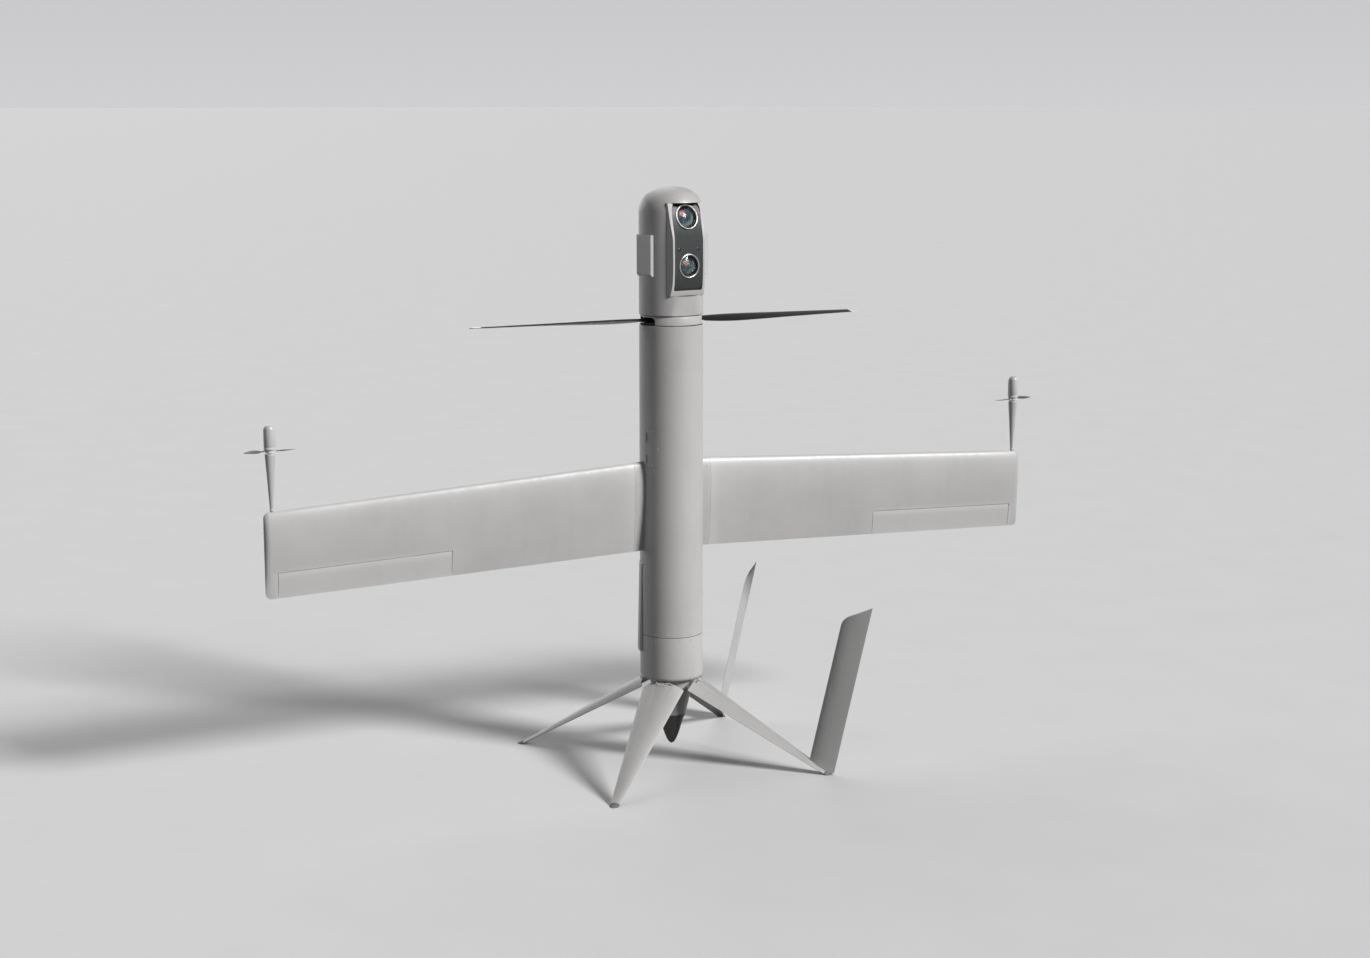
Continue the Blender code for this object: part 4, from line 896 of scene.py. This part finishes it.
def build_head():
    def dome(radius, height, steps):
        points = []
        for step in range(steps + 1):
            rise = sin(radians(90 * step / steps))
            reach = (1 - min(1.0, rise**DOME_POWER)) ** (1 / DOME_POWER)
            points.append((radius * reach, DOME_BASE + height * rise))
        points[-1] = (0.0, DOME_BASE + height)
        return points

    top = BEZEL_Z[0] - 0.0003
    steps = 18
    rise = [blend((HEAD_BOTTOM + 0.0025, top + 0.006), step / steps) for step in range(steps + 1)]
    outer = [(HEAD_R - 0.0015, HEAD_BOTTOM), (HEAD_R - 0.0004, HEAD_BOTTOM + 0.0008)]
    outer += [(HEAD_R, height) for height in rise] + dome(HEAD_R, DOME_HEIGHT, 40)
    inner = dome(HEAD_R - HEAD_WALL, DOME_HEIGHT - HEAD_WALL, 16)
    walls = [(HEAD_R - HEAD_WALL, height) for height in reversed(rise)] + [(HEAD_R - HEAD_WALL, HEAD_BOTTOM)]
    shell = lathe(outer + list(reversed(inner)) + walls, 160)

    def flatten(point):
        """Press the front of the chin towards a leaning plane, with a soft edge."""
        x, y, z = point
        reach = hypot(x, y)
        if z > top or y > -0.04:
            return point
        front = blend(CHIN_FRONT, (z - HEAD_BOTTOM) / (top - HEAD_BOTTOM))
        plane = (front - (HEAD_WALL if reach < HEAD_R - 0.002 else 0.0)) * reach / -y
        soft = 0.007
        share = max(soft - abs(reach - plane), 0.0) / soft
        pressed = (min(reach, plane) - share * share * soft / 4) / reach
        return x * pressed, y * pressed, z

    shell = moved(shell, flatten)
    recess = box((-BEZEL_HALF - 0.0014, -0.2, top), (BEZEL_HALF + 0.0014, -0.050, BEZEL_Z[1] + 0.0005))
    head_piece("head_skin", shell, "body_paint", PAINT, ("head_shell",), cuts=(recess,), bevel=0.0012,
               corner=38.0)

    face = [(0.1000, BEZEL_Z[0]), (0.1053, 1.730), (0.1108, 1.760), (0.1134, 1.815), (0.1127, 1.885),
            (0.1110, 1.920), (0.0996, 1.975), (0.0890, BEZEL_Z[1])]
    face = smooth_path(face, 5)
    outline = [(-reach, z) for reach, z in face] + [(-BEZEL_BACK, BEZEL_Z[1]), (-BEZEL_BACK, BEZEL_Z[0])]
    cuts = [extrude(arch_outline(0.0), -0.2, -0.05, "Y")]
    for side in (-1, 1):
        front = side * BEZEL_FRONT_HALF
        lean = [(side * BEZEL_HALF, -0.085), (front, -0.1145), (front, -0.13), (side * 0.09, -0.13),
                (side * 0.09, -0.085)]
        cuts.append(extrude(lean, BEZEL_Z[0] - 0.01, BEZEL_Z[1] + 0.01, "Z"))
    block = extrude(outline, -BEZEL_HALF, BEZEL_HALF, "X")
    head_piece("bezel_frame", block, "body_paint", PAINT, ("head_bezel",), cuts=cuts, bevel=0.0016,
               corner=32.0)

    low_z = OPENING_BOTTOM + 0.0005
    high_z = BEZEL_Z[1] - 0.0005
    glass = [(0.0940, low_z), (0.1035, 1.742), (0.1105, 1.768), (0.1134, 1.800), (0.1134, 1.865),
             (0.1080, 1.935), (0.0970, 1.990), (0.0860, 2.022), (0.0785, high_z)]
    glass = smooth_path(glass, 5)
    outline = [(-reach, z) for reach, z in glass] + [(-WINDOW_BACK, high_z), (-WINDOW_BACK, low_z)]
    block = extrude(outline, -OPENING_HALF, OPENING_HALF, "X")
    cuts = []
    for lens in LENSES.values():
        pocket = lathe([(0.0, -0.020), (lens[3] + 0.0004, -0.020), (lens[3] + 0.0004, 0.03), (0.0, 0.03)], 96)
        cuts.append(moved(pocket, aim(lens)))

    def at_sensor(shape, x):
        place = aim(SENSOR_SPOT)
        return moved(shape, lambda point: tuple(Vector(place(point)) + Vector((x, 0, 0))))

    hole = lathe([(0.0, -0.003), (0.0058, -0.003), (0.0074, 0.02), (0.0, 0.02)], 40)
    cuts += [at_sensor(hole, x) for x in SENSOR_X]
    head_piece("window_cover", block, "dark_window", WINDOW, ("sensor_window",),
               keeps=(extrude(arch_outline(0.0006), -0.2, -0.05, "Y"),), cuts=cuts, bevel=0.0005,
               corner=40.0)
    button = lathe([(0.0, -0.0034), (0.0056, -0.0034), (0.0056, -0.0016), (0.0046, -0.0012),
                    (0.0040, -0.0020), (0.0022, -0.0012), (0.0, -0.0009)], 40)
    sensors = [at_sensor(button, x) for x in SENSOR_X]
    head_piece("small_sensors", joined(*sensors), "lens_glass", BLACK, bevel=0)

    for name, lens in LENSES.items():
        build_lens(name, lens)
    build_pods()


def aim(lens):
    tilt = radians(lens[2])
    out = Vector((0.0, -cos(tilt), sin(tilt)))
    up = Vector((0.0, sin(tilt), cos(tilt)))
    centre = Vector((0.0, -lens[0], lens[1]))

    def place(point):
        return tuple(centre + Vector((1, 0, 0)) * point[0] + up * point[1] + out * point[2])

    return place


def build_lens(name, lens):
    """Bright ring, stepped black barrel, front glass and one element behind it whose colour is a painted
    reflection.
    """
    edge = lens[3]
    place = aim(lens)
    ring = smooth_path([(edge, -0.006), (edge, 0.0016), (edge - 0.0008, 0.0028), (edge - 0.0020, 0.0032),
                        (edge - 0.0034, 0.0026), (edge - 0.0040, 0.0012), (edge - 0.0042, -0.006)], 4)
    head_piece(name + "_ring", moved(lathe(ring, 128), place), "machined_aluminium", RING_METAL,
               (name + "_lens_ring",), bevel=0)
    rim = edge - 0.0043
    barrel = [(rim, -0.018), (rim, 0.0006), (rim - 0.0010, 0.0010), (rim - 0.0036, -0.0012),
              (rim - 0.0038, -0.0050)]
    radius = rim - 0.0038
    depth = -0.0050
    for _ in range(4):
        barrel += [(radius - 0.0012, depth - 0.0002), (radius - 0.0014, depth - 0.0022)]
        radius -= 0.0022
        depth -= 0.0024
    barrel += [(radius, depth), (0.0, depth - 0.001), (0.0, -0.018)]
    head_piece(name + "_barrel", moved(lathe(barrel, 128), place), "lens_glass", BLACK, bevel=0)
    glass_r = rim - 0.0042

    def cap(reach, base, height, thickness):
        points = []
        steps = 14
        for step in range(steps + 1):
            share = 1 - step / steps
            points.append((reach * share, base + height * (1 - share**2)))
        back = [(radius, depth - thickness) for radius, depth in reversed(points)]
        return lathe(points + back, 96)

    front = moved(cap(glass_r, -0.0034, 0.0072, 0.0012), place)
    head_piece(name + "_front_glass", front, "lens_glass", GLASS_FRONT, (name + "_lens",), bevel=0)
    # centre of the painted highlight on the second element, at the upper left of the glass
    highlight_centre = HEAD(place((-0.35 * glass_r, 0.38 * glass_r, -0.003)))
    painted_reflection = lens_painted_reflection(name + "_coating", highlight_centre, glass_r * 1.55)
    second = moved(cap(glass_r * 0.88, -0.0102, 0.0080, 0.0010), place)
    head_piece(name + "_second_glass", second, "lens_glass", painted_reflection, bevel=0)


def build_pods():
    for name, side in (("left", -1), ("right", 1)):
        reach = POD_REACH[name]
        foot, crown = POD_Z
        outline = [(-POD_HALF, foot), (POD_HALF, foot), (POD_HALF, crown), (-POD_HALF, crown)]
        slab = loft([
            [(side * 0.090, y, z) for y, z in outline],
            [(side * (reach - 0.006), y, z) for y, z in outline],
            [(side * reach, y * 0.96, max(z, foot + 0.008)) for y, z in outline],
        ])
        hull = rod((0, 0, 1.6), (0, 0, 2.0), HEAD_R + 0.0004, FINE)
        head_piece(name + "_pod_cover", slab, "body_paint", PAINT, (name + "_side_pod",), cuts=(hull,),
                   bevel=0.0016, corner=30.0)
        heads = [screw((side * reach, y, z), (side, 0, 0), 0.0020) for y in (-0.037, 0.037)
                 for z in (1.797, 1.916)]
        screws(name + "_pod_screws", "head", heads, place=HEAD)


# ---- tail legs
def along_leg(share):
    """Radius and height on the folded leg's ridge, from its top to its tip."""
    return blend((LEG_TOP[0], LEG_TIP[0]), share), blend((LEG_TOP[1], LEG_TIP[1]), share)


def opened(radius, height):
    """Where a radius and height on the folded leg stand once it is open."""
    reach, rise = rotated(radius - LEG_PIN[0], height - LEG_PIN[1], radians(LEG_OPEN))
    return LEG_PIN[0] + reach, LEG_PIN[1] + rise


def leg_place(azimuth):
    """From the folded leg's (radius, tangent, height) to where it stands open."""
    stand = turned(azimuth - 90.0)

    def place(point):
        radius, height = opened(point[0], point[2])
        return stand((radius, point[1], height))

    return place


def build_legs():
    def bend(radius, steps=32):
        return arc((0.0, 0.0), (radius, radius), -LEG_HALF_ANGLE, LEG_HALF_ANGLE, steps)

    for name, azimuth in LEG_AZ.items():
        place = leg_place(azimuth)
        sections = []
        for share in (0.0, 0.10, 0.25, 0.45, 0.66, 0.85, 0.955, 1.0):
            radius, height = along_leg(share)
            wall = LEG_WALL if share < 0.99 else 0.0075
            sections.append([(x, y, height) for x, y in bend(radius) + bend(radius - wall)[::-1]])
        pin_r, pin_z = LEG_PIN
        knuckle = rod((pin_r, -KNUCKLE_HALF, pin_z), (pin_r, KNUCKLE_HALF, pin_z), KNUCKLE_R, 32)
        web = box((pin_r - 0.0050, -KNUCKLE_HALF, pin_z - 0.0125),
                  (pin_r + 0.0042, KNUCKLE_HALF, pin_z - 0.0010))
        bore = rod((pin_r, -0.05, pin_z), (pin_r, 0.05, pin_z), LEG_BORE_R, 24)
        notches = [box((pin_r - 0.012, y, pin_z - 0.0060), (pin_r + 0.012, y + 0.0064, pin_z + 0.02))
                   for y in (-0.0212, 0.0148)]
        body = "leg_" + name
        piece("petal_" + name, loft(sections), body, "body_paint", LEG_SHADED_PAINT, ("tail_leg_" + name,),
              adds=(knuckle, web), cuts=[bore] + notches, bevel=0, corner=30.0, place=place)

        top = LEG_TIP[1] - 0.0003
        outline = bend(LEG_TIP[0], 16)
        outline += [(FOOT_INNER, FOOT_INNER - 0.0008), (FOOT_INNER, 0.0008 - FOOT_INNER)]
        turn = radians(LEG_OPEN)
        rings = [[], []]
        for x, y in outline:
            ground = pin_z - (pin_z + (x - pin_r) * sin(turn)) / cos(turn)
            rings[0].append((x, y, top))
            rings[1].append((x, y, ground))
        piece("foot_pad_" + name, loft(rings), body, "dark_cap", RUBBER, ("foot_" + name,), bevel=0.0007,
              corner=40.0, place=place)
    build_fins()


def build_fins():
    tip = opened(*along_leg(1.0))
    crown = opened(*along_leg(0.4))
    cut_line = [crown, tip, (0.6050, 0.0056), (0.75, 0.0056), (0.75, -0.2), (crown[0], -0.2)]
    cut_line = [(r, z + (0.0002 if z > 0.01 else 0.0)) for r, z in cut_line]
    fins = {
        "front_right": ((0.5170, 0.6465), (0.6178, 0.7529), 0.0),
        "rear_right": ((0.5170, 0.5190), (0.6178, 0.6255), -0.13),
    }
    parts = [k / 18 for k in range(19)]
    for name, (lead, trail, lean) in fins.items():
        sections = []
        stations = [(share, 0.0) for share in (0.0, 0.2, 0.4, 0.6, 0.8, FIN_ROUNDING)]
        for step in range(1, 9):
            angle = radians(90 * step / 8)
            share = FIN_ROUNDING + (1 - FIN_ROUNDING) * sin(angle)
            stations.append((share, 0.042 * (1 - cos(angle))))
        for share, cut in stations:
            front = (blend(lead, share) + cut, FIN_TOP[0] * share)
            back = (blend(trail, share), FIN_TOP[1] * share)
            over = max(share - 0.97, 0.0) / 0.0305
            thickness = FIN_THICKNESS * max(0.35, sqrt(1 - over**2))
            ring = []
            for part in parts:
                if part < FIN_THICKEST:
                    bow = (1 - (1 - part / FIN_THICKEST)**2)**0.5
                else:
                    bow = 1 - 0.90 * ((part - FIN_THICKEST) / (1 - FIN_THICKEST))**1.5
                ring.append((blend((front[0], back[0]), part), blend((front[1], back[1]), part),
                             bow * thickness / 2))
            loop = ring + [(r, z, -half) for r, z, half in reversed(ring[1:])]
            sections.append([(r, half + lean * z / FIN_LEAN_HEIGHT, z) for r, z, half in loop])
        wedge = extrude(cut_line, -0.05, 0.05, "Y")
        piece("fin_" + name, loft(sections), "leg_" + name, "fin_paint", FIN_LIT_PAINT, ("tail_fin_" + name,),
              cuts=(wedge,), bevel=0.0004, corner=40.0, place=turned(LEG_AZ[name] - 90.0))


# ---- CAD nodes that stay
def finish_nodes():
    looks = {
        "wing_spar": CARBON, "sensor_mast": ALUMINIUM, "front_bulkhead": CARBON, "engine_mount": ALUMINIUM,
        "engine_crankcase": ALUMINIUM, "engine_cylinder": ALUMINIUM, "fuel_tank": TANK, "avionics_box": CASE,
        "tail_bulkhead": ALUMINIUM, "head_base": ALUMINIUM, "camera_block": CASE, "rotor_hub": ALUMINIUM,
        "rotor_shaft": STEEL, "main_gear": STEEL, "crankshaft_pinion": STEEL, "swashplate": ALUMINIUM,
    }
    for name, material in looks.items():
        kept = frame["nodes"][name]
        kept.data.materials.clear()
        kept.data.materials.append(material)
        setup(kept.modifiers.new("weld", "WELD"), merge_threshold=0.00001)
        soften(kept, 0.0005, 40)
        kept.data.shade_smooth()


# ---- studio
def build_studio():
    floor_mesh = bpy.data.meshes.new("floor")
    size = 600.0
    corners = [(-size, -size, 0), (size, -size, 0), (size, size, 0), (-size, size, 0)]
    floor_mesh.from_pydata(corners, [], [(0, 1, 2, 3)])
    floor = placed("floor", floor_mesh)
    floor.location.z = -0.0002
    floor.visible_diffuse = False
    material, tree, shader = new_material("floor")
    cloud = ranged(noise(tree, 3.0, 4.0), 0.0, 1.0)
    tint = mixed(cloud, (0.555, 0.555, 0.560), (0.570, 0.570, 0.572))
    feed(shader, {"Base Color": tint, "Roughness": 0.9, "Specular IOR Level": 0.1})
    floor_mesh.materials.append(material)

    world = bpy.data.worlds.new("studio")
    bpy.context.scene.world = world
    world.use_nodes = True
    tree = world.node_tree
    # height from straight down to straight up, and brightness: pale round the horizon, dim elsewhere
    stops = ((0.0, 0.04), (0.485, 0.04), (0.490, 0.64), (0.515, 0.60), (0.585, 0.50), (0.68, 0.12),
             (1.0, 0.05))
    stops = [(position, (level, level, level * 1.02)) for position, level in stops]
    place = node(tree, "TexCoord").outputs["Generated"]
    height = node(tree, "SeparateXYZ", {"Vector": place}).outputs["Z"]
    colour = ramped(ranged(height, 0.0, 1.0, -1.0, 1.0), stops)
    feed(tree.nodes["Background"], {"Color": colour})

    # name, strength, angular size, azimuth, rise per unit of reach
    suns = (("key", 4.5, 14.0, 34.0, 0.62), ("back_fill", 1.7, 70.0, 190.0, 0.50))
    for name, energy, spread, azimuth, rise in suns:
        sun = setup(bpy.data.lights.new(name, "SUN"), energy=energy, angle=radians(spread))
        holder = placed(name, sun)
        across, depth = polar(1.0, azimuth)
        holder.rotation_euler = Vector((across, depth, rise)).to_track_quat("Z", "Y").to_euler()


def build_camera():
    data = setup(bpy.data.cameras.new("camera"), sensor_width=36.0, lens=57.8, clip_end=2000.0)
    camera = placed("camera", data)
    camera.location = (-3.389, -7.043, 2.396)
    camera.rotation_euler = (radians(80.19), 0.0, radians(-26.06))
    bpy.context.scene.camera = camera
    bpy.context.scene.view_settings.view_transform = "Standard"


build_fuselage()
build_fairing()
build_hatch()
build_wing("left", -1)
build_wing("right", 1)
build_thruster("left", -1)
build_thruster("right", 1)
build_rotor()
build_head()
build_legs()
finish_nodes()
build_studio()
build_camera()
